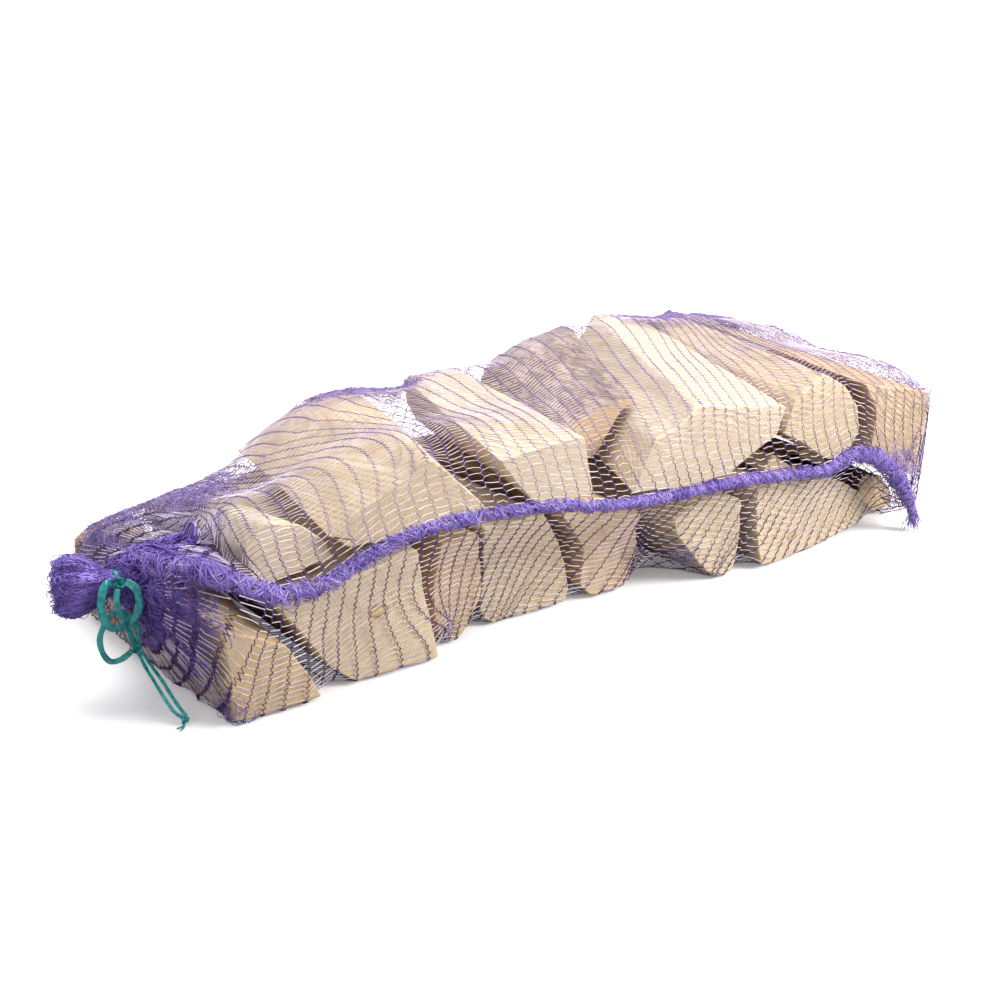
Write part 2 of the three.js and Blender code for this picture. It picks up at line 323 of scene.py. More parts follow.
def ribbonMesh(line, width, thick, seed, twist=0.0, fray=False):
    rng = np.random.default_rng(seed)
    along, across, out = routeFrames(line)
    n = len(line)
    turn = twist * np.linspace(0, 1, n) + 0.25 * np.sin(np.linspace(0, 5, n) + seed)
    side = across * np.cos(turn)[:, None] + out * np.sin(turn)[:, None]
    face = np.cross(side, along)
    lanes = np.array([-0.5, -0.3, 0.0, 0.3, 0.5])
    wander = rng.normal(0, 1, (n, 5))
    for _ in range(2):
        wander = (np.roll(wander, 1, 0) + wander + np.roll(wander, -1, 0)) / 3
    crease = tieSet["crinkle"] / 1000 * wander
    trim = 1 + 0.06 * np.sin(np.linspace(0, 40, n) + seed)
    verts = []
    for level in (0.5, -0.5):
        for k, lane in enumerate(lanes):
            bend = 0.12 * width * (0.25 - lane * lane)
            verts.append(line + side * (lane * width * trim)[:, None]
                         + face * (level * thick + bend + crease[:, k])[:, None])
    verts = np.stack(verts, 1).reshape(-1, 3)   # point-major, 10 corners each
    ring = [0, 1, 2, 3, 4, 9, 8, 7, 6, 5]
    faces = []
    for i in range(n - 1):
        for a, b in zip(ring, ring[1:] + ring[:1]):
            faces.append((i * 10 + a, i * 10 + b, i * 10 + 10 + b, i * 10 + 10 + a))
    for i in (0, n - 1):
        for k in range(4):
            quad = (i * 10 + k, i * 10 + k + 5, i * 10 + k + 6, i * 10 + k + 1)
            faces.append(quad if i == 0 else quad[::-1])
    return verts, faces


def addTie(material, knots):
    cords = []
    for seed, (name, route) in enumerate(tieSet["routes"].items()):
        points = [place(*p) for p in route]
        line, length = smoothRoute(points)
        width = tieSet["widths"][name] / 1000
        verts, faces = ribbonMesh(line, width, tieSet["thick"] / 1000, seed + 3)
        piece = newPiece(name + "_tape", verts, faces, material, smooth=True)
        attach(piece, "root")
        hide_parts(name)
        cords.append(piece)
        print("tape", name, "length %.1f mm" % (length * 1000))
    return cords


knotSet = {
    # middle in mm, size in mm, tape width in mm
    "tie_knot": ((-50, 70, 99), 3.9, 3.4),
    "tie_lower_knot": ((-43, 66, 48), 3.0, 2.8),
    "tie_end_knot": ((-27, 23, 3.8), 2.5, 2.0),
    "band": ((-48, 84, 96), 8.4, 2.6),
    "ends": ((-27, 23, 2.6), (-31, 20, 0.8), (-35, 19.4, 0.7)),
}


def addKnots(material):
    # the same tape wound tight on itself, round the neck, and its two cut ends
    made = []
    for seed, name in enumerate(("tie_knot", "tie_lower_knot", "tie_end_knot")):
        middle, size, width = knotSet[name]
        turns = np.linspace(0, 2 * math.pi, 70)
        loose = (2 + np.cos(3 * turns)) / 3
        shape = np.stack([loose * np.cos(2 * turns), 0.8 * np.sin(3 * turns) / 3 - 0.12 * np.cos(turns),
                          loose * np.sin(2 * turns)], 1)
        line = np.array(place(*middle)) + shape * size / 1000
        line[:, 2] = np.maximum(line[:, 2], 0.0012)
        made.append((name, ribbonMesh(line, width / 1000, tieSet["thick"] / 1000, 31 + seed, twist=1.5)))
    middle, size, width = knotSet["band"]
    turns = np.linspace(0, 4 * math.pi, 120)
    ring = np.stack([0.0006 * np.sin(turns / 2), size / 1000 * np.cos(turns), size / 1000 * np.sin(turns)], 1)
    line = np.array(place(*middle)) + ring
    verts, faces = bandMesh(line, width / 1000)
    made.append(("tie_band", (verts, faces)))
    knots = {}
    for name, (verts, faces) in made:
        piece = knots[name] = newPiece(name + "_tape", verts, faces, material, smooth=True)
        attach(piece, "root")
        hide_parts(name)
    for k, bend in enumerate((0.0, 0.9)):
        begin, mid, far = (np.array(place(*p)) for p in knotSet["ends"])
        line, _ = smoothRoute([begin, mid + (0.0006, -bend * 0.002, 0), far + (0.001 * k, -bend * 0.005, 0)])
        verts, faces = ribbonMesh(line, 0.0013, tieSet["thick"] / 1000, 41 + k)
        verts = verts.copy()
        verts[:, 2] = np.maximum(verts[:, 2], 0.0003)
        piece = newPiece("tie_cut_end_%d" % (k + 1), verts, faces, material, smooth=True)
        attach(piece, "root")
        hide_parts("tie_end_knot")
    return knots


def bandMesh(line, width):
    # a flat strip wound round the neck, its broad side outwards
    n = len(line)
    middle = line.mean(0)
    out = line - middle
    out[:, 0] = 0
    out /= np.linalg.norm(out, axis=1, keepdims=True)
    verts = []
    for lift, lane in ((0.00015, -0.5), (0.0003, 0.0), (0.00015, 0.5), (-0.00015, 0.5), (-0.00015, -0.5)):
        verts.append(line + out * lift + np.array([lane * width, 0, 0]))
    verts = np.stack(verts, 1).reshape(-1, 3)
    faces = []
    for i in range(n - 1):
        for a in range(5):
            b = (a + 1) % 5
            faces.append((i * 5 + a, i * 5 + b, i * 5 + 5 + b, i * 5 + 5 + a))
    return verts, faces


addCamera()
addLights()
print("camera and lights are in place")

# ---- the split logs ------------------------------------------------------------------------
# tone: heartwood, sapwood and growth-line colours; pith: where the tree's middle was, in mm from
# the middle of the front end; rings: mm between growth lines; bark: which way the bark side
# faces, in degrees anticlockwise from +X seen from the front, and how far round it goes
logTones = {
    "pale": (rgb(212, 195, 161), rgb(229, 217, 190), rgb(182, 156, 114)),
    "white": (rgb(222, 210, 186), rgb(236, 228, 210), rgb(198, 178, 144)),
    "tan": (rgb(200, 171, 126), rgb(219, 196, 155), rgb(156, 121, 80)),
    "pink": (rgb(206, 174, 140), rgb(223, 200, 168), rgb(164, 126, 92)),
}
logSet = {
    "log_upper_1": dict(tone="white", pith=(-10, -60), rings=3.2, bark=(240, 25), slot="wood_pale", bow=0),
    "log_upper_2": dict(tone="pale", pith=(30, -22), rings=3.4, bark=None, slot="wood_pale", bow=3),
    "log_upper_3": dict(tone="white", pith=(20, -70), rings=3.0, bark=None, slot="wood_white", bow=1),
    "log_upper_4": dict(tone="pink", pith=(20, -90), rings=2.6, bark=(100, 75), slot="bark_grey", bow=2,
                        weathered=True),
    "log_upper_5": dict(tone="white", pith=(-30, -60), rings=3.0, bark=None, slot="wood_white", bow=0),
    "log_upper_6": dict(tone="pale", pith=(-30, -20), rings=2.8, bark=(8, 35), slot="wood_pale", bow=0,
                        knot=(552, 12, 170, 9)),
    "log_upper_7": dict(tone="tan", pith=(30, 60), rings=2.8, bark=None, slot="wood_tan", bow=0),
    "log_lower_1": dict(tone="tan", pith=(50, -40), rings=3.0, bark=None, slot="wood_tan", bow=0),
    "log_lower_2": dict(tone="pale", pith=(-50, 10), rings=3.2, bark=None, slot="wood_pale", bow=0,
                        knot=(126, 8, 56, 6)),
    "log_lower_3": dict(tone="pink", pith=(-40, 0), rings=2.6, bark=(0, 50), slot="wood_tan", bow=0),
    "log_lower_4": dict(tone="pale", pith=(-50, 20), rings=3.0, bark=None, slot="wood_pale", bow=0),
    "log_lower_5": dict(tone="pink", pith=(10, -60), rings=2.8, bark=None, slot="wood_tan", bow=0),
    "log_lower_6": dict(tone="pale", pith=(10, 60), rings=3.0, bark=(0, 30), slot="wood_pale", bow=0),
    "log_lower_7": dict(tone="pale", pith=(-20, 70), rings=3.2, bark=None, slot="wood_pale", bow=0,
                        knot=(566, 6, 22, 5)),
    "log_lower_8": dict(tone="tan", pith=(-10, -40), rings=2.6, bark=(100, 120), slot="bark_brown", bow=0),
    "log_thin_1": dict(tone="pale", pith=(0, -40), rings=2.6, bark=None, slot="wood_pale", bow=0),
    "log_thin_2": dict(tone="tan", pith=(0, 40), rings=2.4, bark=(300, 40), slot="wood_tan", bow=0),
}
logShape = {
    "step": 0.0032,        # m between points round a log
    "stride": 0.0045,      # m between points along it
    "rounding": 2,         # passes that ease the split corners
    "wavy": 0.0016,        # m, slow hollows of a split face
    "torn": 0.0008,        # m, steps where fibres tore out
    "fibre": 0.00028,      # m, fine relief along the grain
    "arris": 0.0010,       # m, wear at the sawn edge
}


def endOutline(node, side):
    # corners of one sawn end, in order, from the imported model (side -1 front, 1 back)
    mesh = bmesh.new()
    mesh.from_mesh(node.data)
    bmesh.ops.remove_doubles(mesh, verts=mesh.verts, dist=1e-5)
    mesh.normal_update()
    cap = {f for f in mesh.faces if f.normal.y * side > 0.9}
    after = {}
    for f in cap:
        for loop in f.loops:
            if sum(g in cap for g in loop.edge.link_faces) == 1:
                after[loop.vert] = loop.link_loop_next.vert
    start = next(iter(after))
    ring = [start]
    while after[ring[-1]] is not start:
        ring.append(after[ring[-1]])
    points = np.array([v.co[:] for v in ring])
    mesh.free()
    if side > 0:
        points = points[::-1]
    return points


def smoothGrid(rng, rows, columns, alongCells, aroundCells):
    # a soft random field, closed round the columns, about -1 to 1
    alongCells, aroundCells = max(2, int(alongCells)), max(3, int(aroundCells))
    seedGrid = rng.uniform(-1, 1, (alongCells + 1, aroundCells))
    u = np.linspace(0, alongCells - 1e-6, rows)
    v = np.linspace(0, aroundCells, columns, endpoint=False)
    ui, vi = u.astype(int), v.astype(int)
    uf, vf = u - ui, v - vi
    uf, vf = uf * uf * (3 - 2 * uf), vf * vf * (3 - 2 * vf)
    a = seedGrid[ui][:, vi % aroundCells]
    b = seedGrid[ui][:, (vi + 1) % aroundCells]
    c = seedGrid[ui + 1][:, vi % aroundCells]
    d = seedGrid[ui + 1][:, (vi + 1) % aroundCells]
    top = a * (1 - vf) + b * vf
    low = c * (1 - vf) + d * vf
    return top * (1 - uf)[:, None] + low * uf[:, None]


def logSurface(name, look, seed):
    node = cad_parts[name]
    front, back = endOutline(node, -1), endOutline(node, 1)
    count = len(front)
    shifts = [np.sum((np.roll(back, -k, 0) - back.mean(0) - front + front.mean(0)) ** 2) for k in range(count)]
    back = np.roll(back, -int(np.argmin(shifts)), 0)
    rng = np.random.default_rng(seed)
    # points round the outline, more where a side is long
    corner, share = [], []
    for i in range(count):
        length = np.linalg.norm(front[(i + 1) % count] - front[i])
        parts = max(2, int(round(length / logShape["step"])))
        for k in range(parts):
            corner.append(i)
            share.append(k / parts)
    corner, share = np.array(corner), np.array(share)[:, None]
    after = (corner + 1) % count
    ringFront = front[corner] * (1 - share) + front[after] * share
    ringBack = back[corner] * (1 - share) + back[after] * share
    around = len(corner)
    depth = abs(back[:, 1].mean() - front[:, 1].mean())
    rows = int(depth / logShape["stride"])
    t = np.linspace(0, 1, rows)
    edge = logShape["arris"] / depth
    t = np.concatenate([[0, edge], t[1:-1], [1 - edge, 1]])
    rows = len(t)
    grid = ringFront[None] * (1 - t)[:, None, None] + ringBack[None] * t[:, None, None]
    grid[:, :, 2] += (look["bow"] / 1000 * 4 * t * (1 - t))[:, None]
    for _ in range(logShape["rounding"]):
        grid = 0.25 * np.roll(grid, 1, 1) + 0.5 * grid + 0.25 * np.roll(grid, -1, 1)
    tangent = np.roll(grid, -1, 1) - np.roll(grid, 1, 1)
    normal = np.stack([tangent[..., 2], 0 * tangent[..., 0], -tangent[..., 0]], -1)
    normal /= np.maximum(np.linalg.norm(normal, axis=-1, keepdims=True), 1e-9)
    girth = np.linalg.norm(np.roll(ringFront, -1, 0) - ringFront, axis=1).sum()
    wavy = smoothGrid(rng, rows, around, 4, girth / 0.035)
    torn = smoothGrid(rng, rows, around, 3, girth / 0.012)
    fibre = smoothGrid(rng, rows, around, 9, girth / 0.0035)
    stepped = 1 / (1 + np.exp(-14 * (torn - 0.15)))
    sink = (logShape["wavy"] * (0.5 + 0.5 * wavy) + logShape["torn"] * stepped
            + logShape["fibre"] * (0.5 + 0.5 * fibre))
    barkMask = np.zeros((rows, around))
    if look["bark"]:
        angle, spread = (math.radians(v) for v in look["bark"])
        facing = normal[..., 0] * math.cos(angle) + normal[..., 2] * math.sin(angle)
        barkMask = 1 / (1 + np.exp(-18 * (facing - math.cos(spread))))
        plates = smoothGrid(rng, rows, around, 16, girth / 0.008)
        sink = sink * (1 - barkMask) + barkMask * 0.0016 * (1 / (1 + np.exp(-7 * plates)))
    sink[0] += logShape["arris"] * (0.8 + 0.5 * rng.random(around))
    sink[-1] += logShape["arris"] * (0.8 + 0.5 * rng.random(around))
    grid = grid - normal * sink[..., None]
    verts = grid.reshape(-1, 3)
    index = np.arange(rows * around).reshape(rows, around)
    faces = []
    nextIndex = np.roll(index, -1, 1)
    quads = np.stack([index[:-1], index[1:], nextIndex[1:], nextIndex[:-1]], -1).reshape(-1, 4)
    faces = [tuple(q) for q in quads.tolist()]
    faces.append(tuple(index[0].tolist()))
    faces.append(tuple(index[-1][::-1].tolist()))
    return verts, faces, barkMask.ravel(), front


def makeRingsGroup():
    # growth lines about a pith: Line is 0 in early wood and 1 on a dark line
    group, start, end = newGroup("growthRings", [
        ("Point", "NodeSocketVector", None), ("Spacing", "NodeSocketFloat", 0.003),
        ("Wander", "NodeSocketFloat", 0.008)], [
        ("Line", "NodeSocketFloat"), ("Age", "NodeSocketFloat")])
    net = Wiring(group)
    point = start.outputs["Point"]
    drawn = net.vector("MULTIPLY", point, (1, 0.22, 1))
    x, y, z = net.split(point)
    wander = net.math("SUBTRACT", net.noise(drawn, 16, 2, 0.45), 0.5)
    small = net.math("SUBTRACT", net.noise(drawn, 90, 2, 0.5), 0.5)
    radius = net.vector("LENGTH", net.join(x, 0.0, z))
    radius = net.math("ADD", radius, net.math("MULTIPLY", wander, start.outputs["Wander"]))
    radius = net.math("ADD", radius, net.math("MULTIPLY", small, 0.0016))
    age = net.math("DIVIDE", radius, start.outputs["Spacing"])
    part = net.math("FRACT", age)
    rise = net.spread(part, 0.35, 0.92)
    fall = net.spread(part, 0.93, 1.0, 1.0, 0.0)
    net.feed(end.inputs["Line"], net.math("MULTIPLY", rise, fall))
    net.feed(end.inputs["Age"], net.noise(net.join(net.math("MULTIPLY", age, 0.6), 0.0, 0.0), 1.0, 1))
    return group


def makeGrainGroup():
    # drawn-out fibres of a split face: Fibre is fine, Streak is broad, Torn is rough patches
    group, start, end = newGroup("splitGrain", [
        ("Point", "NodeSocketVector", None), ("Fineness", "NodeSocketFloat", 1.0)], [
        ("Fibre", "NodeSocketFloat"), ("Streak", "NodeSocketFloat"), ("Torn", "NodeSocketFloat")])
    net = Wiring(group)
    drawn = net.vector("MULTIPLY", start.outputs["Point"], (1, 0.035, 1))
    drawn = net.vector("SCALE", drawn, start.outputs["Fineness"])
    net.feed(end.inputs["Fibre"], net.noise(drawn, 900, 3, 0.6))
    net.feed(end.inputs["Streak"], net.noise(drawn, 150, 3, 0.55))
    patch = net.noise(net.vector("MULTIPLY", start.outputs["Point"], (1, 0.25, 1)), 42, 3, 0.6)
    net.feed(end.inputs["Torn"], net.spread(patch, 0.5, 0.68))
    return group


def makeSawnGroup():
    # a sawn end: End masks the end faces, Saw is the blade's marks, Check is drying cracks
    group, start, end = newGroup("sawnEnd", [
        ("Point", "NodeSocketVector", None), ("Slant", "NodeSocketFloat", 0.3),
        ("Cracks", "NodeSocketFloat", 9.0)], [
        ("End", "NodeSocketFloat"), ("Saw", "NodeSocketFloat"), ("Check", "NodeSocketFloat")])
    net = Wiring(group)
    facing = group.nodes.new("ShaderNodeNewGeometry").outputs["True Normal"]
    n = net.split(facing)
    net.feed(end.inputs["End"], net.spread(net.math("ABSOLUTE", n[1]), 0.55, 0.85))
    x, y, z = net.split(start.outputs["Point"])
    across = net.math("ADD", z, net.math("MULTIPLY", x, start.outputs["Slant"]))
    stroke = net.noise(net.join(net.math("MULTIPLY", x, 0.05), 0.0, across), 620, 2, 0.7)
    rough = net.noise(start.outputs["Point"], 1500, 2, 0.6)
    net.feed(end.inputs["Saw"], net.math("ADD", net.math("MULTIPLY", stroke, 0.6), net.math("MULTIPLY", rough, 0.4)))
    turn = net.math("ARCTAN2", z, x)
    wobble = net.math("MULTIPLY", net.noise(start.outputs["Point"], 60, 2, 0.5), 0.35)
    spoke = net.math("MULTIPLY", net.math("ADD", turn, wobble), start.outputs["Cracks"])
    spoke = net.math("ABSOLUTE", net.math("SINE", spoke))
    reach = net.vector("LENGTH", net.join(x, 0.0, z))
    thin = net.spread(net.math("MULTIPLY", spoke, reach), 0.0, 0.0011, 1.0, 0.0)
    where = net.spread(net.noise(net.join(turn, 0.0, net.math("MULTIPLY", reach, 9.0)), 2.2, 2, 0.5), 0.52, 0.6)
    net.feed(end.inputs["Check"], net.math("MULTIPLY", thin, where))
    return group


def makeBarkGroup():
    # Plate is raised bark, Crack the dark furrows between plates, Tint a slow change of colour
    group, start, end = newGroup("barkSkin", [("Point", "NodeSocketVector", None)], [
        ("Plate", "NodeSocketFloat"), ("Crack", "NodeSocketFloat"), ("Tint", "NodeSocketFloat")])
    net = Wiring(group)
    drawn = net.vector("MULTIPLY", start.outputs["Point"], (1, 0.3, 1))
    warp = net.noise(drawn, 120, 3, 0.6)
    bent = net.vector("ADD", drawn, net.vector("SCALE", net.join(warp, warp, warp), 0.012))
    net.feed(end.inputs["Crack"], net.spread(net.cells(bent, 95), 0.0, 0.22, 1.0, 0.0))
    net.feed(end.inputs["Plate"], net.noise(drawn, 420, 4, 0.65))
    net.feed(end.inputs["Tint"], net.noise(start.outputs["Point"], 26, 3, 0.55))
    return group


def makeKnotGroup():
    # a branch knot round a middle point: Core is its heart, Rim the dark edge round it
    group, start, end = newGroup("branchKnot", [
        ("Point", "NodeSocketVector", None), ("Middle", "NodeSocketVector", None), ("Size", "NodeSocketFloat", 0.006)], [
        ("Core", "NodeSocketFloat"), ("Rim", "NodeSocketFloat")])
    net = Wiring(group)
    apart = net.vector("SUBTRACT", start.outputs["Point"], start.outputs["Middle"])
    far = net.vector("LENGTH", net.vector("MULTIPLY", apart, (0.8, 0.4, 1.25)))
    far = net.math("ADD", far, net.math("MULTIPLY", net.math("SUBTRACT", net.noise(apart, 160, 2, 0.5), 0.5), 0.003))
    far = net.math("DIVIDE", far, start.outputs["Size"])
    net.feed(end.inputs["Core"], net.spread(far, 0.55, 0.95, 1.0, 0.0))
    net.feed(end.inputs["Rim"], net.math("MULTIPLY", net.spread(far, 0.6, 0.95), net.spread(far, 1.0, 1.5, 1.0, 0.0)))
    return group


woodGroups = {}


def woodMaterial(name, look, front):
    if not woodGroups:
        woodGroups.update(rings=makeRingsGroup(), grain=makeGrainGroup(), sawn=makeSawnGroup(),
                          bark=makeBarkGroup(), knot=makeKnotGroup())
    heart, sap, line = logTones[look["tone"]]
    material, net, shader = newMaterial(name + "_wood")
    middle = front.mean(0)
    pith = (middle[0] + look["pith"][0] / 1000, 0.0, middle[2] + look["pith"][1] / 1000)
    point = net.vector("SUBTRACT", objectPoint(net), pith)
    ringOut = net.use(woodGroups["rings"], Point=point, Spacing=look["rings"] / 1000, Wander=0.010)
    grain = net.use(woodGroups["grain"], Point=point)
    sawn = net.use(woodGroups["sawn"], Point=point, Slant=0.25)
    age = ringOut["Age"]
    colour = net.mix(net.spread(age, 0.3, 0.7), heart, sap)
    lineMask = net.math("MULTIPLY", ringOut["Line"], net.spread(sawn["End"], 0, 1, 0.62, 0.4))
    colour = net.mix(lineMask, colour, line)
    colour = net.mix(net.spread(grain["Streak"], 0.35, 0.7, 0.0, 0.34), colour, line)
    colour = net.mix(net.spread(grain["Fibre"], 0.3, 0.75, 0.28, 0.0), colour, rgb(178, 146, 106))
    slow = net.noise(point, 11, 2, 0.5)
    colour = net.mix(net.spread(slow, 0.45, 0.7, 0.0, 0.22), colour, rgb(230, 200, 172))
    # the sawn ends are a little darker and greyer, with the blade's marks
    endTone = net.mix(net.math("MULTIPLY", sawn["End"], 0.3), colour, rgb(224, 204, 170))
    endTone = net.mix(net.math("MULTIPLY", sawn["End"], net.spread(sawn["Saw"], 0.35, 0.65, 0.3, 0.0)), endTone,
                      rgb(178, 152, 116))
    crack = net.math("MULTIPLY", sawn["End"], sawn["Check"])
    colour = net.mix(crack, endTone, rgb(84, 58, 36))
    if look.get("knot"):
        x, y, z, size = look["knot"]
        knot = net.use(woodGroups["knot"], Point=objectPoint(net), Middle=place(x, y, z), Size=size / 1000)
        colour = net.mix(net.math("MULTIPLY", knot["Core"], 0.75), colour, rgb(206, 178, 104))
        colour = net.mix(net.math("MULTIPLY", knot["Rim"], 0.6), colour, rgb(122, 84, 50))
    height = net.math("ADD", net.math("MULTIPLY", grain["Fibre"], 0.35), net.math("MULTIPLY", grain["Streak"], 0.5))
    height = net.math("ADD", height, net.math("MULTIPLY", ringOut["Line"], 0.12))
    height = net.math("SUBTRACT", height, net.math("MULTIPLY", crack, 0.9))
    height = net.math("ADD", height, net.math("MULTIPLY", sawn["Saw"], net.math("MULTIPLY", sawn["End"], 0.5)))
    rough = net.spread(grain["Streak"], 0.3, 0.7, 0.66, 0.8)
    if look["bark"]:
        skin = net.use(woodGroups["bark"], Point=point)
        mask = net.tree.nodes.new("ShaderNodeAttribute")
        mask.attribute_name = "bark"
        edge = net.math("ADD", mask.outputs["Fac"], net.math("MULTIPLY", net.math("SUBTRACT", skin["Plate"], 0.5), 0.5))
        mask = net.math("MULTIPLY", net.spread(edge, 0.4, 0.6), net.math("SUBTRACT", 1.0, sawn["End"]))
        if look.get("weathered"):
            shade = net.mix(net.spread(skin["Tint"], 0.35, 0.65), rgb(172, 156, 144), rgb(198, 180, 164))
            shade = net.mix(net.spread(skin["Plate"], 0.4, 0.7, 0.0, 0.6), shade, rgb(126, 106, 92))
            shade = net.mix(net.math("MULTIPLY", skin["Crack"], 0.55), shade, rgb(96, 78, 66))
        else:
            shade = net.mix(net.spread(skin["Tint"], 0.35, 0.65), rgb(118, 80, 50), rgb(92, 60, 38))
            shade = net.mix(net.spread(skin["Plate"], 0.4, 0.7, 0.0, 0.6), shade, rgb(146, 108, 74))
            shade = net.mix(net.math("MULTIPLY", skin["Crack"], 0.8), shade, rgb(48, 32, 24))
        colour = net.mix(mask, colour, shade)
        rise = net.math("SUBTRACT", skin["Plate"], skin["Crack"])
        height = net.math("ADD", height, net.math("MULTIPLY", mask, rise))
        rough = net.math("ADD", rough, net.math("MULTIPLY", mask, 0.14))
    net.feed(shader.inputs["Base Color"], colour)
    net.feed(shader.inputs["Roughness"], rough)
    net.feed(shader.inputs["Normal"], net.bump(height, 0.55, 0.0011))
    shader.inputs["Specular IOR Level"].default_value = 0.32
    return material


def addLogs():
    pieces = []
    for seed, (name, look) in enumerate(logSet.items()):
        verts, faces, bark, front = logSurface(name, look, 40 + seed)
        piece = newPiece("split_" + name, verts, faces, woodMaterial(name, look, front))
        mesh = piece.data
        mesh.attributes.new("bark", "FLOAT", "POINT").data.foreach_set("value", bark.astype(np.float32))
        mesh.shade_smooth()
        for polygon in mesh.polygons:
            if len(polygon.vertices) > 4:
                polygon.use_smooth = False
        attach(piece, "root")
        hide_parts(name)
        pieces.append(piece)
    print("logs", len(pieces), "faces", sum(len(p.data.polygons) for p in pieces))
    return pieces


def tapeMaterial():
    material, net, shader = newMaterial("tape_teal")
    point = objectPoint(net)
    blotch = net.noise(point, 260, 4, 0.6)
    fine = net.noise(point, 1400, 2, 0.6)
    colour = net.mix(net.spread(blotch, 0.38, 0.62), rgb(6, 118, 126), rgb(28, 166, 164))
    # painted highlights: pale teal flecks where the crinkled tape would catch the light
    colour = net.mix(net.spread(fine, 0.58, 0.72, 0.0, 0.6), colour, rgb(140, 212, 212))
    net.feed(shader.inputs["Base Color"], colour)
    net.feed(shader.inputs["Roughness"], net.spread(blotch, 0.3, 0.7, 0.2, 0.42))
    net.feed(shader.inputs["Normal"], net.bump(blotch, 0.4, 0.0006))
    shader.inputs["Coat Weight"].default_value = 0.4
    return material


floorSet = {"tone": (rgb(246, 246, 247), rgb(243, 243, 245)), "bounce": 0.32, "near": 0.45, "far": 1.5}


def addFloor():
    # a plain pale floor that glows for the camera, painted light: a weak glow near the bundle lightens its shadow,
    # and the glow grows into the backdrop away from it. For other rays it throws less light back up than its own
    # paleness would
    material, net, shader = newMaterial("studio_floor")
    point = objectPoint(net)
    tone = net.noise(point, 3, 2, 0.5)
    net.feed(shader.inputs["Base Color"], net.mix(net.spread(tone, 0.3, 0.7), *floorSet["tone"]))
    net.feed(shader.inputs["Roughness"], net.spread(tone, 0.3, 0.7, 0.75, 0.85))
    shader.inputs["Specular IOR Level"].default_value = 0.2
    shader.inputs["Emission Color"].default_value = (1, 1, 1, 1)
    # painted light: the floor's glow, weak near the bundle where it lightens the shadow, strong far off
    away = net.vector("LENGTH", point)
    net.feed(shader.inputs["Emission Strength"], net.spread(away, floorSet["near"], floorSet["far"], 0.2, 0.9))
    tree = net.tree
    dim = tree.nodes.new("ShaderNodeBsdfDiffuse")
    dim.inputs["Color"].default_value = (floorSet["bounce"],) * 3 + (1,)
    pick, path = tree.nodes.new("ShaderNodeMixShader"), tree.nodes.new("ShaderNodeLightPath")
    tree.links.new(path.outputs["Is Camera Ray"], pick.inputs["Fac"])
    tree.links.new(dim.outputs[0], pick.inputs[1])
    tree.links.new(shader.outputs[0], pick.inputs[2])
    tree.links.new(pick.outputs[0], tree.nodes["Material Output"].inputs["Surface"])
    floor = newPiece("floor", [(-9, -9, 0), (9, -9, 0), (9, 9, 0), (-9, 9, 0)], [(0, 1, 2, 3)], material)


# ---- the knitted net -----------------------------------------------------------------------
# the net is one knitted tube. Chains of stitches run round it as closed loops, and thin threads
# cross from each chain to the next, so the cells are long hexagons. All lengths in metres
netSet = {
    "rows": 320,             # stitches round the tube
    "loopGap": 0.0134,       # between two chains
    "crowdedTo": 0.085,      # chains lie closer together up to here from the neck
    "zigzag": 0.0012,        # how far a chain swings at each stitch
    "chain": 0.00056,        # radius of a chain
    "thread": 0.00027,        # radius of a cross thread
    "clearance": 0.0009,     # from the wood to the middle of a chain
    "angles": 300,           # of the drape's grid, round the bag
    "stride": 0.003,         # of the drape's grid, along the bag
    "passes": 420,
    "ringPull": 0.68,        # share of the pull that runs round the bag
    "middle": (146, 74),     # mm, y and z of the line the drape looks out from
    "start": (62, 138, 70),  # mm, where it looks out from at the neck end
    "neck": (-44, 84, 96),   # mm
    "neckRadius": 0.0085,
    "endLine": 66,           # mm, height of the sewn line across the closed end
    "bodyEnd": 741,          # mm, where the side ends and the closed end begins
    # where chains are drawn together: x, z in mm on the front, pull in mm, reach in mm
    "gathers": [(178, 4, 24, 30), (212, 8, 44, 62), (302, 6, 42, 56), (404, 44, 14, 30),
                (426, 10, 40, 54), (516, 4, 26, 40), (742, 60, 10, 40)],
    # over the top: x in mm where a chain leaves the front, and how far it has moved at the back
    "topSwing": [(-40, 0), (60, -10), (110, -38), (170, -20), (230, 34), (300, 62), (360, 96), (420, 136),
                 (460, 150), (520, 126), (570, 94), (620, 60), (700, 18), (744, 0)],
    "topArch": [(20, 0), (90, 26), (150, 40), (210, 26), (300, 0)],
    # how far chains lean towards the neck below the seam: x in mm, lean in mm at the floor
    "lean": [(0, 4), (120, 4), (210, 10), (290, 34), (480, 40), (600, 46), (700, 24), (760, 0)],
}
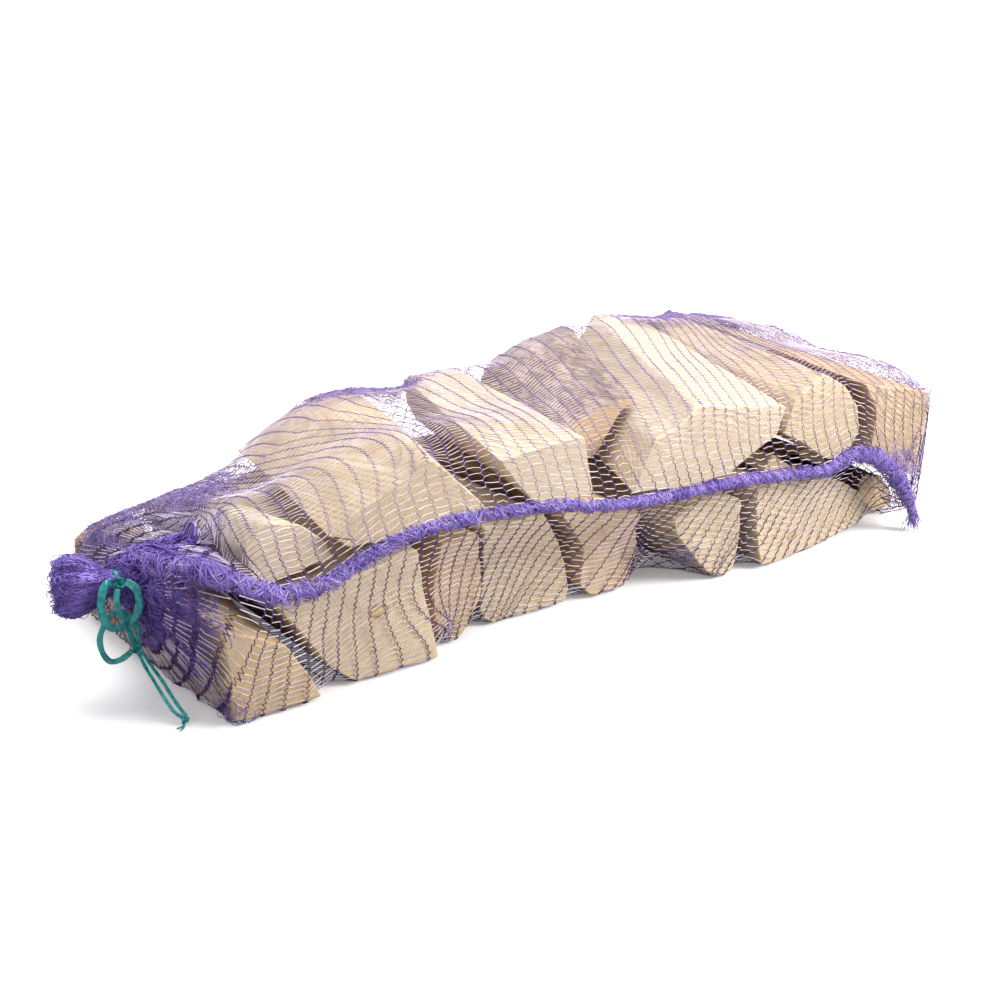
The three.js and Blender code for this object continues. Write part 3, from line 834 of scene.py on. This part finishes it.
# where spare net lies in small crossing folds: x, y, z in mm, reach in mm, strands, and the way
# they run ("in" to the middle of the spot, "edge" along Y, "any")
bunchSet = {
    "length": (0.005, 0.013),
    "radius": 0.0003,
    "neck": [(-40, 84, 96, 20, 1500, "in"), (-22, 96, 116, 24, 900, "in"), (-30, 66, 74, 24, 600, "in"),
             (-14, 62, 108, 20, 420, "in"), (-36, 118, 118, 26, 620, "any"), (-6, 24, 94, 18, 220, "in"),
             (-22, 34, 46, 20, 200, "any"), (-30, 64, 34, 22, 260, "any"), (-4, 4, 6, 14, 60, "any"),
             (6, 96, 124, 22, 200, "any"), (-24, 222, 76, 30, 200, "any"), (-16, 30, 104, 22, 420, "in"),
             (-20, 42, 80, 20, 300, "in")],
    "edges": [(-24, 222, 76, 32, 380, "any"), (8, 218, 84, 30, 420, "any"), (-30, 170, 84, 30, 420, "any"),
              (30, 182, 122, 28, 420, "any"), (62, 190, 132, 30, 420, "any"), (233, 272, 150, 24, 300, "any"),
              (262, 261, 155, 24, 300, "any"), (295, 268, 158, 20, 220, "any"), (426, 0, 16, 14, 40, "any"), (694, 4, 72, 16, 200, "any"), (712, 0, 44, 14, 160, "any"),
              (590, 282, 180, 26, 300, "any"), (622, 285, 176, 28, 480, "any"), (660, 292, 168, 28, 560, "any"),
              (700, 296, 158, 28, 620, "any"), (736, 288, 150, 26, 520, "any")]
             + [(744, 20 + 38 * k, 136 + 2.2 * k, 16, 110, "edge") for k in range(8)]
             + [(748, 8 + 24 * k, netSet["endLine"], 11, 62, "edge") for k in range(13)],
}
seamSet = {
    "route": [(-34, 56, 114), (-18, 25, 116), (-4, 1, 116), (12, -8, 109), (32, -9, 98), (67, -9, 96),
              (102, -9, 107), (139, -9, 118), (171, -9, 121), (206, -9, 121), (283, -9, 114),
              (327, -9, 105), (384, -9, 100), (481, -9, 97), (560, -9, 90), (588, -9, 87),
              (619, -9, 95), (653, -9, 88), (691, -9, 56), (712, -9, 28), (718, -9, 12)],
    "radius": 0.0052,
    "strands": 14,
    "pinchEvery": 0.0128,    # the chains pinch the ridge this often
    "windEvery": 0.034,      # a ply goes once round the ridge in this
    "loopEvery": 0.00075,
    "strandRadius": 0.00046,
    "loopRadius": 0.0003,
    "barRadius": 0.00046,
}


def lookOut():
    # for each station along the bag and each angle round it: a point inside, and a way out
    count = netSet["angles"]
    turn = np.linspace(0, 2 * math.pi, count, endpoint=False) - math.pi / 2
    ring = np.stack([0 * turn, np.cos(turn), np.sin(turn)], 1)
    ring = ring[:, [0, 1, 2]]
    start = np.array(place(*netSet["start"]))
    neck = np.array(place(*netSet["neck"]))
    pole = (neck - start) / np.linalg.norm(neck - start)
    centres, ways, kind = [], [], []
    lean = np.linspace(0, math.pi / 2, 76)[1:-1]
    first = math.asin(netSet["neckRadius"] / np.linalg.norm(neck - start))
    lean = lean[lean > first]
    lean = np.concatenate([[first], lean])
    for angle in lean:
        way = math.cos(angle) * pole + math.sin(angle) * ring
        way /= np.linalg.norm(way, axis=1, keepdims=True)
        centres.append(np.repeat(start[None], count, 0))
        ways.append(way)
        kind.append(0)
    left = start[0]
    right = np.array(place(netSet["bodyEnd"], 0, 0))[0]
    middle = np.array(place(0, *netSet["middle"]))
    steps = int((right - left) / netSet["stride"])
    for k in range(1, steps + 1):
        x = left + (right - left) * k / steps
        blend = min(1, (x - left) / 0.12)
        blend = blend * blend * (3 - 2 * blend)
        centre = start * (1 - blend) + middle * blend
        centre[0] = x
        centres.append(np.repeat(centre[None], count, 0))
        ways.append(ring)
        kind.append(1)
    return np.array(centres), np.array(ways), np.array(kind), ring


def castOnWood(tree, centres, ways, reach):
    flat, out = centres.reshape(-1, 3), ways.reshape(-1, 3)
    found = np.zeros(len(flat))
    for i in range(len(flat)):
        origin = flat[i] + out[i] * reach
        hit = tree.ray_cast(Vector(origin), Vector(-out[i]), reach)
        if hit[0] is not None:
            found[i] = reach - hit[3]
    return found.reshape(centres.shape[:2])


def widen(field, size):
    # largest value nearby, then eased: the first guess of a taut skin
    best = field.copy()
    for k in range(1, size + 1):
        best = np.maximum(best, np.maximum(np.roll(field, k, 1), np.roll(field, -k, 1)))
    rows = best.copy()
    for k in range(1, size + 1):
        rows[k:] = np.maximum(rows[k:], best[:-k])
        rows[:-k] = np.maximum(rows[:-k], best[k:])
    return rows


def relax(centres, ways, wood, radius, fixed, passes):
    for _ in range(passes):
        spot = centres + ways * radius[..., None]
        mean = 0.5 * (np.roll(spot, 1, 1) + np.roll(spot, -1, 1))
        along = spot.copy()
        along[1:-1] = 0.5 * (spot[2:] + spot[:-2])
        goal = netSet["ringPull"] * mean + (1 - netSet["ringPull"]) * along
        out = np.einsum("ijk,ijk->ij", goal - centres, ways)
        radius = np.where(fixed, radius, np.maximum(wood, out))
    return radius


def drapeNet(logs):
    verts, faces, offset = [], [], 0
    for log in logs:
        mesh = log.data
        spots = np.zeros(len(mesh.vertices) * 3)
        mesh.vertices.foreach_get("co", spots)
        verts.extend(map(tuple, spots.reshape(-1, 3).tolist()))
        faces.extend(tuple(v + offset for v in p.vertices) for p in mesh.polygons)
        offset += len(mesh.vertices)
    tree = BVHTree.FromPolygons(verts, faces)
    centres, ways, kind, ring = lookOut()
    wood = castOnWood(tree, centres, ways, 0.4)
    wood = np.where(wood > 0, wood + netSet["clearance"], 0.02)
    radius = widen(wood, 5)
    neck = np.array(place(*netSet["neck"]))
    fixed = np.zeros(wood.shape, bool)
    fixed[0] = True
    radius[0] = np.linalg.norm(neck - centres[0, 0]) / math.cos(0.06)
    radius = relax(centres, ways, wood, radius, fixed, netSet["passes"])
    # the closed end: its rings fold flat onto one sewn line across the end
    last = centres[-1] + ways[-1] * radius[-1][:, None]
    line = np.array(place(0, 0, netSet["endLine"]))[2]
    endCentres, folds = [], 26
    for q in (np.arange(1, folds + 1) / folds):
        spot = last.copy()
        spot[:, 2] = line + (last[:, 2] - line) * (1 - q)
        middle = last[:, 1].mean()
        spot[:, 1] = middle + (last[:, 1] - middle) * (1 - 0.03 * q)
        spot[:, 0] = last[:, 0] - 0.06
        endCentres.append(spot)
    endCentres = np.array(endCentres)
    endWays = np.zeros_like(endCentres)
    endWays[..., 0] = 1
    endWood = castOnWood(tree, endCentres, endWays, 0.4)
    endWood = np.where(endWood > 0, endWood + netSet["clearance"], 0.03)
    guess = np.maximum(endWood, 0.061)
    allCentres = np.concatenate([centres, endCentres])
    allWays = np.concatenate([ways, endWays])
    allWood = np.concatenate([wood, endWood])
    allRadius = np.concatenate([radius, guess])
    allFixed = np.zeros(allWood.shape, bool)
    allFixed[:-60] = True
    allRadius = relax(allCentres, allWays, allWood, allRadius, allFixed, 160)
    skin = allCentres + allWays * allRadius[..., None]
    skin[..., 2] = np.maximum(skin[..., 2], netSet["chain"] + 0.0002)
    print("net draped over the wood", skin.shape)
    return skin


class Skin:
    # the draped net as a grid that can be read anywhere: run is metres along it, share is 0-1 round it
    def __init__(self, grid):
        self.grid = grid
        closed = np.concatenate([grid, grid[:, :1]], 1)
        steps = np.linalg.norm(np.diff(closed, axis=1), axis=2)
        self.around = np.concatenate([np.zeros((len(grid), 1)), np.cumsum(steps, 1)], 1)
        self.girth = self.around[:, -1]
        front = int(grid.shape[1] * 0.62)
        lines = np.linalg.norm(np.diff(grid, axis=0), axis=2)
        self.run = np.concatenate([[0], np.cumsum(np.median(lines, axis=1))])
        self.normal = self.normals(grid)
        self.seam = np.zeros(len(grid))

    def normals(self, grid):
        du = np.gradient(grid, axis=0)
        dv = 0.5 * (np.roll(grid, -1, 1) - np.roll(grid, 1, 1))
        n = np.cross(dv, du)
        n /= np.maximum(np.linalg.norm(n, axis=2, keepdims=True), 1e-12)
        return n

    def rowAt(self, run):
        return np.interp(run, self.run, np.arange(len(self.run)))

    def read(self, row, column, what=None):
        # row and column are fractional grid indices
        grid = self.grid if what is None else what
        count, wide = grid.shape[:2]
        row = np.clip(row, 0, count - 1.001)
        r0 = row.astype(int)
        rf = (row - r0)[..., None]
        column = np.mod(column, wide)
        c0 = column.astype(int) % wide
        cf = (column - np.floor(column))[..., None]
        c1 = (c0 + 1) % wide
        top = grid[r0, c0] * (1 - cf) + grid[r0, c1] * cf
        low = grid[r0 + 1, c0] * (1 - cf) + grid[r0 + 1, c1] * cf
        return top * (1 - rf) + low * rf

    def columns(self, row, shares):
        # where the shares of the girth lie, counted from the seam, on one station
        r = int(min(max(round(row), 0), len(self.grid) - 1))
        girth = self.girth[r]
        zero = np.interp(self.seam[r], np.arange(self.around.shape[1]), self.around[r])
        length = np.mod(zero + shares * girth, girth)
        return np.interp(length, self.around[r], np.arange(self.around.shape[1]))


def tubes(lines, normals, radius, sides, closed=False, flat=1.0):
    # lines (m, n, 3) become m tubes; radius is one number or (m, n)
    m, n = lines.shape[:2]
    if closed:
        along = np.roll(lines, -1, 1) - np.roll(lines, 1, 1)
    else:
        along = np.gradient(lines, axis=1)
    along /= np.maximum(np.linalg.norm(along, axis=2, keepdims=True), 1e-12)
    up = normals - along * np.sum(normals * along, 2, keepdims=True)
    up /= np.maximum(np.linalg.norm(up, axis=2, keepdims=True), 1e-12)
    side = np.cross(along, up)
    radius = np.broadcast_to(np.asarray(radius, float), (m, n))[..., None]
    turns = np.arange(sides) * 2 * math.pi / sides + math.pi / sides
    rings = [lines + radius * (math.cos(a) * side * flat + math.sin(a) * up) for a in turns]
    verts = np.stack(rings, 2).reshape(-1, 3)
    index = np.arange(m * n * sides).reshape(m, n, sides)
    nextPoint = np.roll(index, -1, 1) if closed else index[:, 1:]
    here = index if closed else index[:, :-1]
    quads = np.stack([here, np.roll(here, -1, 2), np.roll(nextPoint, -1, 2), nextPoint], -1)
    return verts, quads.reshape(-1, 4)


def bundle(parts):
    verts, faces, offset = [], [], 0
    for v, f in parts:
        verts.append(v)
        faces.append(f + offset)
        offset += len(v)
    return np.concatenate(verts), np.concatenate(faces)


def leanAt(points):
    # how far along X a chain is drawn aside at each point, from the lean and the gathers
    x = (points[..., 0] - rowShift.x) * 1000
    y = (points[..., 1] - rowShift.y) * 1000
    z = points[..., 2] * 1000
    seamX = [p[0] for p in seamSet["route"][3:]]
    seamZ = [p[2] for p in seamSet["route"][3:]]
    seamHeight = np.interp(x, seamX, seamZ)
    low = np.clip((seamHeight - z) / np.maximum(seamHeight, 20), 0, 1)
    front = 1 / (1 + np.exp((y - 45) / 9))
    lean = np.interp(x, [p[0] for p in netSet["lean"]], [p[1] for p in netSet["lean"]])
    under = 1 / (1 + np.exp((y - 120) / 25))
    shift = -lean * low ** 1.3 * under
    # over the top the chains run back with the upper logs, and past the back edge they return
    back = np.clip((y - 8) / 280, 0, 1)
    high = np.clip(z / 125, 0, 1)
    swing = np.interp(x, [p[0] for p in netSet["topSwing"]], [p[1] for p in netSet["topSwing"]])
    arch = np.interp(x, [p[0] for p in netSet["topArch"]], [p[1] for p in netSet["topArch"]])
    shift = shift + high * (swing * back ** 1.15 + arch * np.sin(math.pi * np.clip(back * 1.45, 0, 1)))
    for gx, gz, pull, reach in netSet["gathers"]:
        d = x - gx
        near = np.exp(-(d / reach) ** 2 - ((z - gz) / 34) ** 2) * front
        shift = shift - d / reach * pull * near * 1.6
    return shift / 1000


def knitNet(skin):
    rng = np.random.default_rng(7)
    rows = netSet["rows"]
    total = skin.run[-1]
    fine = np.linspace(0, total, 400)
    crowd = 1 + 1.1 / (1 + np.exp((fine - netSet["crowdedTo"]) / 0.02))
    counted = np.concatenate([[0], np.cumsum(0.5 * (crowd[1:] + crowd[:-1]) * np.diff(fine))]) / netSet["loopGap"]
    count = int(counted[-1])
    # the last chain is the sewn line across the closed end
    stations = np.append(np.interp(np.arange(count) + 0.5, counted, fine), total - 0.0001)
    count += 1
    shares = np.arange(rows) / rows
    spots, ups, slack = [], [], []
    for station in stations:
        row = skin.rowAt(station)
        column = skin.columns(row, shares)
        move = leanAt(skin.read(np.full(rows, row), column))
        flip = 1 if len(spots) % 2 == 0 else -1
        move += netSet["zigzag"] * flip * np.where(np.arange(rows) % 2 == 0, 1, -1) * (1 + 0.2 * rng.normal(0, 1, rows))
        move += 0.0006 * smoothGrid(rng, 2, rows, 2, 26)[0]
        rowHere = skin.rowAt(np.clip(station + move, 0, total))
        column = column + 0.12 * rng.normal(0, 1, rows)
        spots.append(skin.read(rowHere, column))
        ups.append(skin.read(rowHere, column, skin.normal))
        slack.append(np.clip(1 - skin.girth[int(min(round(row), len(skin.girth) - 1))] / np.max(skin.girth), 0, 1))
    spots, ups, slack = np.array(spots), np.array(ups), np.array(slack)
    # where the tube is drawn in towards the neck, the spare girth stands up in folds
    left = stations < stations[np.argmax(slack < 0.12)] + 0.03
    fold = np.where(left, np.clip(slack * 1.25 - 0.08, 0, 1), 0)
    height = 0.016 * fold[:, None] * (1 - 0.5 * fold[:, None]) * foldWave(shares[None], np.linspace(0, 1.2, count)[:, None])
    height += 0.0024 * fold[:, None] * rng.random((count, rows)) + 0.00025 * rng.random((count, rows))
    spots = spots + ups * height[..., None]
    spots[..., 2] = np.maximum(spots[..., 2], netSet["chain"] * 1.6)
    # over the top the chains are drawn out thinner than on the sides
    slim = 1 - 0.3 * np.clip((spots[..., 2] - 0.112) / 0.02, 0, 1) * (1 - fold[:, None] ** 2)
    radius = netSet["chain"] * slim * (1 + 0.14 * rng.normal(0, 1, (count, rows))) * (1 + 0.4 * fold[:, None] ** 3)
    # every second stitch is tied across to the next chain, by turns, which makes the long hexagons
    threads, threadUp, width = [], [], []
    for j in range(count - 1):
        pick = np.arange(j % 2, rows, 2)
        a, b = spots[j][pick], spots[j + 1][pick]
        up = ups[j][pick] + ups[j + 1][pick]
        ring = spots[j][(pick + 1) % rows] - spots[j][pick]
        sway = 0.26 * rng.normal(0, 1, (len(pick), 1))
        middle = 0.5 * (a + b) + ring * sway + up * 0.00014
        middle[:, 2] = np.maximum(middle[:, 2], 0.0008)
        threads.append(np.stack([a + up * 0.0001, middle, b + up * 0.0001], 1))
        threadUp.append(np.repeat(up[:, None], 3, 1))
        width.append(netSet["thread"] * (1 + 0.3 * rng.random((len(pick), 1))) * (1 + 1.1 * fold[j] ** 2))
    neckEnd = int(np.argmax(slack < 0.6))
    made = {}
    for name, first, last in (("neck", 0, neckEnd), ("body", neckEnd, count)):
        made[name + "Chains"] = tubes(spots[first:last], ups[first:last], radius[first:last], 3, closed=True)
        end = min(last, count - 1)
        made[name + "Threads"] = tubes(np.concatenate(threads[first:end]), np.concatenate(threadUp[first:end]),
                                       np.concatenate(width[first:end]), 3, flat=1.5)
    return made


def foldWave(share, drift):
    # 0 in the valleys and 1 on the crests of the folds that run to the neck
    wave = 0
    for n, part, phase in ((13, 0.5, 0.4), (23, 0.3, 1.9), (41, 0.2, 2.6)):
        wave = wave + part * (0.5 + 0.5 * np.sin(2 * math.pi * n * share + phase + drift))
    return wave


def curls(rng, centre, way, up, length, bend, radius):
    # short bent threads: centre, way and up are (n, 3), length and bend are (n,)
    side = np.cross(way, up)
    points = []
    for t in (-0.5, -0.18, 0.18, 0.5):
        arch = (0.25 - t * t) * length
        points.append(centre + way * (t * length)[:, None] + side * (arch * bend)[:, None] * 1.6
                      + up * (arch * 0.5 + rng.normal(0, 0.0005, len(centre)))[:, None])
    lines = np.stack(points, 1)
    lines[..., 2] = np.maximum(lines[..., 2], 0.0009)
    return tubes(lines, np.repeat(up[:, None], 4, 1), radius, 3)


def bunchNet(skin, spots, seed):
    rng = np.random.default_rng(seed)
    grid, normal = skin.grid, skin.normal
    du = np.gradient(grid, axis=0)
    dv = 0.5 * (np.roll(grid, -1, 1) - np.roll(grid, 1, 1))
    area = np.linalg.norm(np.cross(du, dv), axis=2)
    centres, ways, ups, rise = [], [], [], []
    for x, y, z, reach, strands, run in spots:
        middle = np.array(place(x, y, z))
        far = np.linalg.norm(grid - middle, axis=2) * 1000 / reach
        chance = (np.exp(-far ** 2) * area).ravel()
        chance = np.cumsum(chance / chance.sum())
        pick = np.searchsorted(chance, rng.random(strands)).clip(0, chance.size - 1)
        r, c = np.unravel_index(pick, area.shape)
        spot = skin.read(r + rng.random(strands) - 0.5, c + rng.random(strands) - 0.5)
        up = normal[r, c]
        if run == "in":
            way = middle - spot
        elif run == "edge":
            way = np.tile([0.0, 1.0, 0.0], (strands, 1))
        else:
            way = rng.normal(0, 1, (strands, 3))
        way = way / np.maximum(np.linalg.norm(way, axis=1, keepdims=True), 1e-9)
        way = way + rng.normal(0, 0.45, (strands, 3))
        way -= up * np.sum(way * up, 1, keepdims=True)
        way /= np.maximum(np.linalg.norm(way, axis=1, keepdims=True), 1e-9)
        centres.append(spot)
        ways.append(way)
        ups.append(up)
        share = c / grid.shape[1]
        deep = 0.010 if run == "in" else 0.0035
        rise.append(deep * foldWave(share, 0.2) * np.exp(-0.5 * far[r, c] ** 2) * rng.random(strands) ** 0.6)
    centre, way, up = np.concatenate(centres), np.concatenate(ways), np.concatenate(ups)
    centre = centre + up * (0.0006 + np.concatenate(rise))[:, None]
    n = len(centre)
    length = rng.uniform(*bunchSet["length"], n)
    radius = bunchSet["radius"] * rng.uniform(0.7, 1.3, (n, 1))
    return curls(rng, centre, way, up, length, rng.normal(0, 0.7, n), radius)


def knitMouth():
    # the neck under the tie and the loose frill beyond it, in dense small folds
    rng = np.random.default_rng(21)
    rows = netSet["rows"]
    turn = 2 * math.pi * np.arange(rows) / rows
    stops = [(-43, 84, 96, 8.6, 0.4), (-46, 84, 96, 7.2, 0.3), (-50, 84, 96, 7.2, 0.3), (-54, 85, 96, 9, 0.6),
             (-60, 88, 95.5, 13.5, 1.2), (-66, 91.5, 95, 18, 1.6), (-72, 95, 94, 20.5, 1.9), (-77, 98, 93.5, 21, 2.1),
             (-81, 100, 93, 20, 2.2), (-82, 101, 92.5, 16, 2.2)]
    loops, places, outs = [], [], []
    for s in np.linspace(0, len(stops) - 1, 13):
        i = min(int(s), len(stops) - 2)
        f = s - i
        x, y, z, r, fold = (p * (1 - f) + q * f for p, q in zip(stops[i], stops[i + 1]))
        wave = (0.5 * np.sin(7 * turn + 0.3 + 0.12 * s) + 0.32 * np.sin(12 * turn + 1.7 - 0.1 * s)
                + 0.22 * np.sin(19 * turn + 2.4) + 0.15 * np.sin(31 * turn + s))
        radius = (r + fold * 1.6 * wave + 0.35 * rng.normal(0, 1, rows)) / 1000
        lift = fold * (1.1 * np.sin(9 * turn + 1.1 + 0.2 * s) + 0.6 * np.sin(17 * turn)) / 1000
        # the frill's axis swings back a little towards +Y
        swing = 0.5 * min(1, max(0, (s - 2.5) / 4))
        axis = np.array([-math.cos(swing), math.sin(swing), -0.08])
        axis /= np.linalg.norm(axis)
        e1 = np.cross(axis, (0, 0, 1.0))
        e1 /= np.linalg.norm(e1)
        e2 = np.cross(axis, e1)
        out = np.cos(turn)[:, None] * e1 + np.sin(turn)[:, None] * e2
        spot = np.array(place(x, y, z)) + out * radius[:, None] + axis * lift[:, None]
        loops.append((spot, out))
        if s > 3:
            # crumpled net fills the frill and stands ragged along its hem
            many = 150 + int(45 * s)
            pick = rng.integers(0, rows, many)
            deep = rng.random(many) ** 0.5
            hub = np.array(place(x, y, z))
            places.append(hub + (spot[pick] - hub) * (deep * rng.uniform(0.9, 1.1, many))[:, None] + rng.normal(0, 0.0012, (many, 3)))
            outs.append(out[pick] + rng.normal(0, 0.3, (many, 3)))
    spots = np.array([q[0] for q in loops])
    ups = np.array([q[1] for q in loops])
    chainMesh = tubes(spots, ups, netSet["chain"] * 0.8, 3, closed=True)
    a, b = spots[:-1], np.roll(spots, 1, 1)[1:]
    threads = np.stack([a, 0.5 * (a + b) + 0.0006 * rng.normal(0, 1, a.shape), b], 2).reshape(-1, 3, 3)
    threadUp = np.repeat(ups[:-1].reshape(-1, 1, 3), 3, 1)
    threadMesh = tubes(threads, threadUp, netSet["thread"] * 1.3, 3, flat=1.4)
    centre, up = np.concatenate(places), np.concatenate(outs)
    up /= np.linalg.norm(up, axis=1, keepdims=True)
    way = np.cross(up, rng.normal(0, 1, up.shape))
    way /= np.maximum(np.linalg.norm(way, axis=1, keepdims=True), 1e-9)
    n = len(centre)
    curlMesh = curls(rng, centre, way, up, rng.uniform(0.004, 0.009, n), rng.normal(0, 0.9, n),
                     bunchSet["radius"] * rng.uniform(0.7, 1.3, (n, 1)))
    return chainMesh, threadMesh, curlMesh


def setSeam(skin):
    # which column of the grid the seam crosses at each station, and the net drawn up to the seam
    line, _ = smoothRoute([place(*p) for p in seamSet["route"]], 0.002)
    grid = skin.grid
    wide = grid.shape[1]
    spread, pull = [], []
    for k in range(len(grid)):
        d = np.linalg.norm(grid[k][:, None] - line[None], axis=2)
        column, i = np.unravel_index(np.argmin(d), d.shape)
        spread.append(column)
        share = 1 if 0 < i < len(line) - 1 else math.exp(-(d.min() / 0.012) ** 2)
        pull.append((line[i] - grid[k, column]) * share)
    kernel = np.ones(9) / 9
    columns = np.unwrap(np.array(spread) * 2 * math.pi / wide) * wide / (2 * math.pi)
    columns = np.convolve(np.pad(columns, 4, mode="edge"), kernel, "valid")
    pull = np.array(pull)
    pull = np.stack([np.convolve(np.pad(pull[:, a], 4, mode="edge"), kernel, "valid") for a in range(3)], 1)
    for k in range(len(grid)):
        here = np.interp(np.mod(columns[k], wide), np.arange(wide + 1), skin.around[k])
        apart = np.abs(skin.around[k, :-1] - here)
        apart = np.minimum(apart, skin.girth[k] - apart)
        grid[k] += pull[k] * np.exp(-(apart / (0.008 + 1.1 * np.linalg.norm(pull[k]))) ** 2)[:, None]
    skin.normal = skin.normals(grid)
    skin.seam = np.mod(columns, wide)


def sewSeam():
    # a gathered ridge: plies wound along it that pinch in at every chain, small loops standing
    # out of it, and the chains' ends crossing it
    rng = np.random.default_rng(5)
    line, length = smoothRoute([place(*p) for p in seamSet["route"]], 0.0018)
    along, across, out = routeFrames(line, up=(0, -1, 0.5))
    n = len(line)
    run = np.linspace(0, 1, n)
    puff = 0.78 + 0.34 * np.abs(np.sin(math.pi * run * length / seamSet["pinchEvery"] + 2 * smoothGrid(rng, n, 3, 20, 3)[:, 1]))
    thick = seamSet["radius"] * puff * np.interp(run, [0, .1, .22, .4, .78, .86, .93, 1], [1.6, 1.5, 1.2, .95, 1.05, 1.6, 1.7, .8])
    strands, ups = [], []
    for k in range(seamSet["strands"]):
        turn = 2 * math.pi * k / seamSet["strands"] + run * length / seamSet["windEvery"] * 2 * math.pi * (1 if k % 3 else -0.7)
        turn = turn + 1.6 * smoothGrid(rng, n, 3, 40, 3)[:, 0]
        reach = thick * (0.6 + 0.45 * smoothGrid(rng, n, 3, 90, 3)[:, 1])
        way = np.cos(turn)[:, None] * across + np.sin(turn)[:, None] * out
        strands.append(line + way * reach[:, None])
        ups.append(way)
    strands = np.array(strands)
    strands[..., 2] = np.maximum(strands[..., 2], 0.0008)
    strandMesh = tubes(strands, np.array(ups), seamSet["strandRadius"], 3)
    count = int(length / seamSet["loopEvery"])
    where = np.sort(rng.uniform(0, n - 1.01, count))
    i = where.astype(int)
    f = (where - i)[:, None]
    centre = line[i] * (1 - f) + line[i + 1] * f
    size = thick[i] * rng.uniform(0.6, 1.12, count)
    lean = rng.normal(0.3, 0.8, count)
    slide = rng.normal(0, 0.0012, (count, 3))
    loops = []
    for t in np.linspace(-0.35 * math.pi, 1.35 * math.pi, 7):
        flat = np.cos(t) * across[i] + np.sin(t) * out[i] * 0.8
        loops.append(centre + slide * 0.5 + size[:, None] * (flat + along[i] * (lean * np.cos(t))[:, None]))
    loops = np.stack(loops, 1)
    loops[..., 2] = np.maximum(loops[..., 2], 0.0008)
    loopMesh = tubes(loops, loops - centre[:, None], seamSet["loopRadius"], 3)
    # the chains' ends, lying slantwise over the ridge at each pinch
    bars, barUps = [], []
    for s in np.arange(0.5, length / seamSet["pinchEvery"]):
        i = min(int(s * seamSet["pinchEvery"] / length * n), n - 2)
        slant = 0.55 + 0.2 * rng.normal()
        points = []
        for t in np.linspace(-1, 1, 7):
            points.append(line[i] + thick[i] * (across[i] * t * 1.25 + along[i] * t * slant + out[i] * 1.02 * math.sqrt(1.05 - t * t)))
        bars.append(points)
        barUps.append([out[i]] * 7)
    bars = np.array(bars)
    bars[..., 2] = np.maximum(bars[..., 2], 0.0008)
    barMesh = tubes(bars, np.array(barUps, float), seamSet["barRadius"], 4)
    # the ragged tassel at its lower end
    tail, tailUp = [], []
    for k in range(60):
        begin = line[-4] + rng.normal(0, 0.0018, 3)
        way = np.array([rng.normal(0.0, 0.4), rng.normal(-0.12, 0.25), -1.0])
        reach = rng.uniform(0.006, 0.014)
        bend = rng.normal(0, 0.0018, 3)
        tail.append([begin + way * reach * t + bend * math.sin(2.4 * t) for t in (0, 0.33, 0.66, 1)])
        tailUp.append([(0.1, -1, 0.1)] * 4)
    tail = np.array(tail)
    tail[..., 2] = np.maximum(tail[..., 2], 0.0008)
    tailMesh = tubes(tail, np.array(tailUp, float), seamSet["loopRadius"], 3)
    return strandMesh, loopMesh, tailMesh, barMesh


def threadMaterial(name, dark, light, glint, roughness, high=None):
    # high: the paler colour of threads drawn out thin over the top
    material, net, shader = newMaterial(name)
    point = objectPoint(net)
    slow = net.noise(point, 55, 3, 0.6)
    fine = net.noise(point, 900, 2, 0.6)
    colour = net.mix(net.spread(slow, 0.3, 0.7), dark, light)
    if high:
        colour = net.mix(net.spread(net.split(point)[2], 0.112, 0.142), colour, high)
    # painted highlights: small flecks of the glint colour over the thread's own colour
    colour = net.mix(net.spread(fine, 0.6, 0.78, 0.0, 0.6), colour, glint)
    net.feed(shader.inputs["Base Color"], colour)
    net.feed(shader.inputs["Roughness"], net.spread(fine, 0.3, 0.7, roughness, roughness + 0.2))
    net.feed(shader.inputs["Normal"], net.bump(fine, 0.3, 0.0003))
    shader.inputs["Coat Weight"].default_value = 0.25
    shader.inputs["Coat Roughness"].default_value = 0.2
    return material


def addNet(logs):
    skin = Skin(drapeNet(logs))
    setSeam(skin)
    # the third colour given to each thread material is its glint, a painted highlight
    chain = threadMaterial("net_chain", rgb(70, 42, 104), rgb(100, 68, 146), rgb(146, 116, 196), 0.34, rgb(134, 108, 180))
    thin = threadMaterial("net_thread", rgb(184, 166, 196), rgb(230, 220, 232), rgb(252, 250, 253), 0.24)
    crumpled = threadMaterial("net_crumpled", rgb(92, 66, 158), rgb(146, 118, 212), rgb(214, 200, 248), 0.28)
    gathered = threadMaterial("net_gathered", rgb(128, 104, 196), rgb(172, 150, 228), rgb(222, 210, 250), 0.3)
    # the bunched net at the edges: the net's violet made paler, a painted sheen of the folded net catching the light
    pale = threadMaterial("net_doubled_painted_sheen", rgb(128, 104, 172), rgb(172, 150, 208), rgb(232, 224, 248), 0.28)
    made = knitNet(skin)
    strandMesh, loopMesh, tailMesh, barMesh = sewSeam()
    pieces = [
        ("net_chains", [made["bodyChains"]], chain, "net_bag"),
        ("net_cross_threads", [made["bodyThreads"]], thin, "net_bag"),
        ("net_neck", [made["neckChains"], made["neckThreads"]], crumpled, "net_bag"),
        ("net_bunched_neck", [bunchNet(skin, bunchSet["neck"], 11)], crumpled, "net_bag"),
        ("net_bunched_edges", [bunchNet(skin, bunchSet["edges"], 12)], pale, "net_bag"),
        ("net_frill", list(knitMouth()), crumpled, "net_bag"),
        ("net_side_seam", [strandMesh, loopMesh, tailMesh], gathered, "net_seam"),
        ("net_seam_crossings", [barMesh], crumpled, "net_seam"),
    ]
    for name, parts, material, stands in pieces:
        verts, faces = bundle(parts)
        piece = fastPiece(name, verts, faces, material)
        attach(piece, "root")
        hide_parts(stands)
        print(name, "triangles", len(faces) * 2)


# ---- putting it together -------------------------------------------------------------------
tape = tapeMaterial()
addTie(tape, addKnots(tape))
addFloor()
logs = addLogs()
addNet(logs)
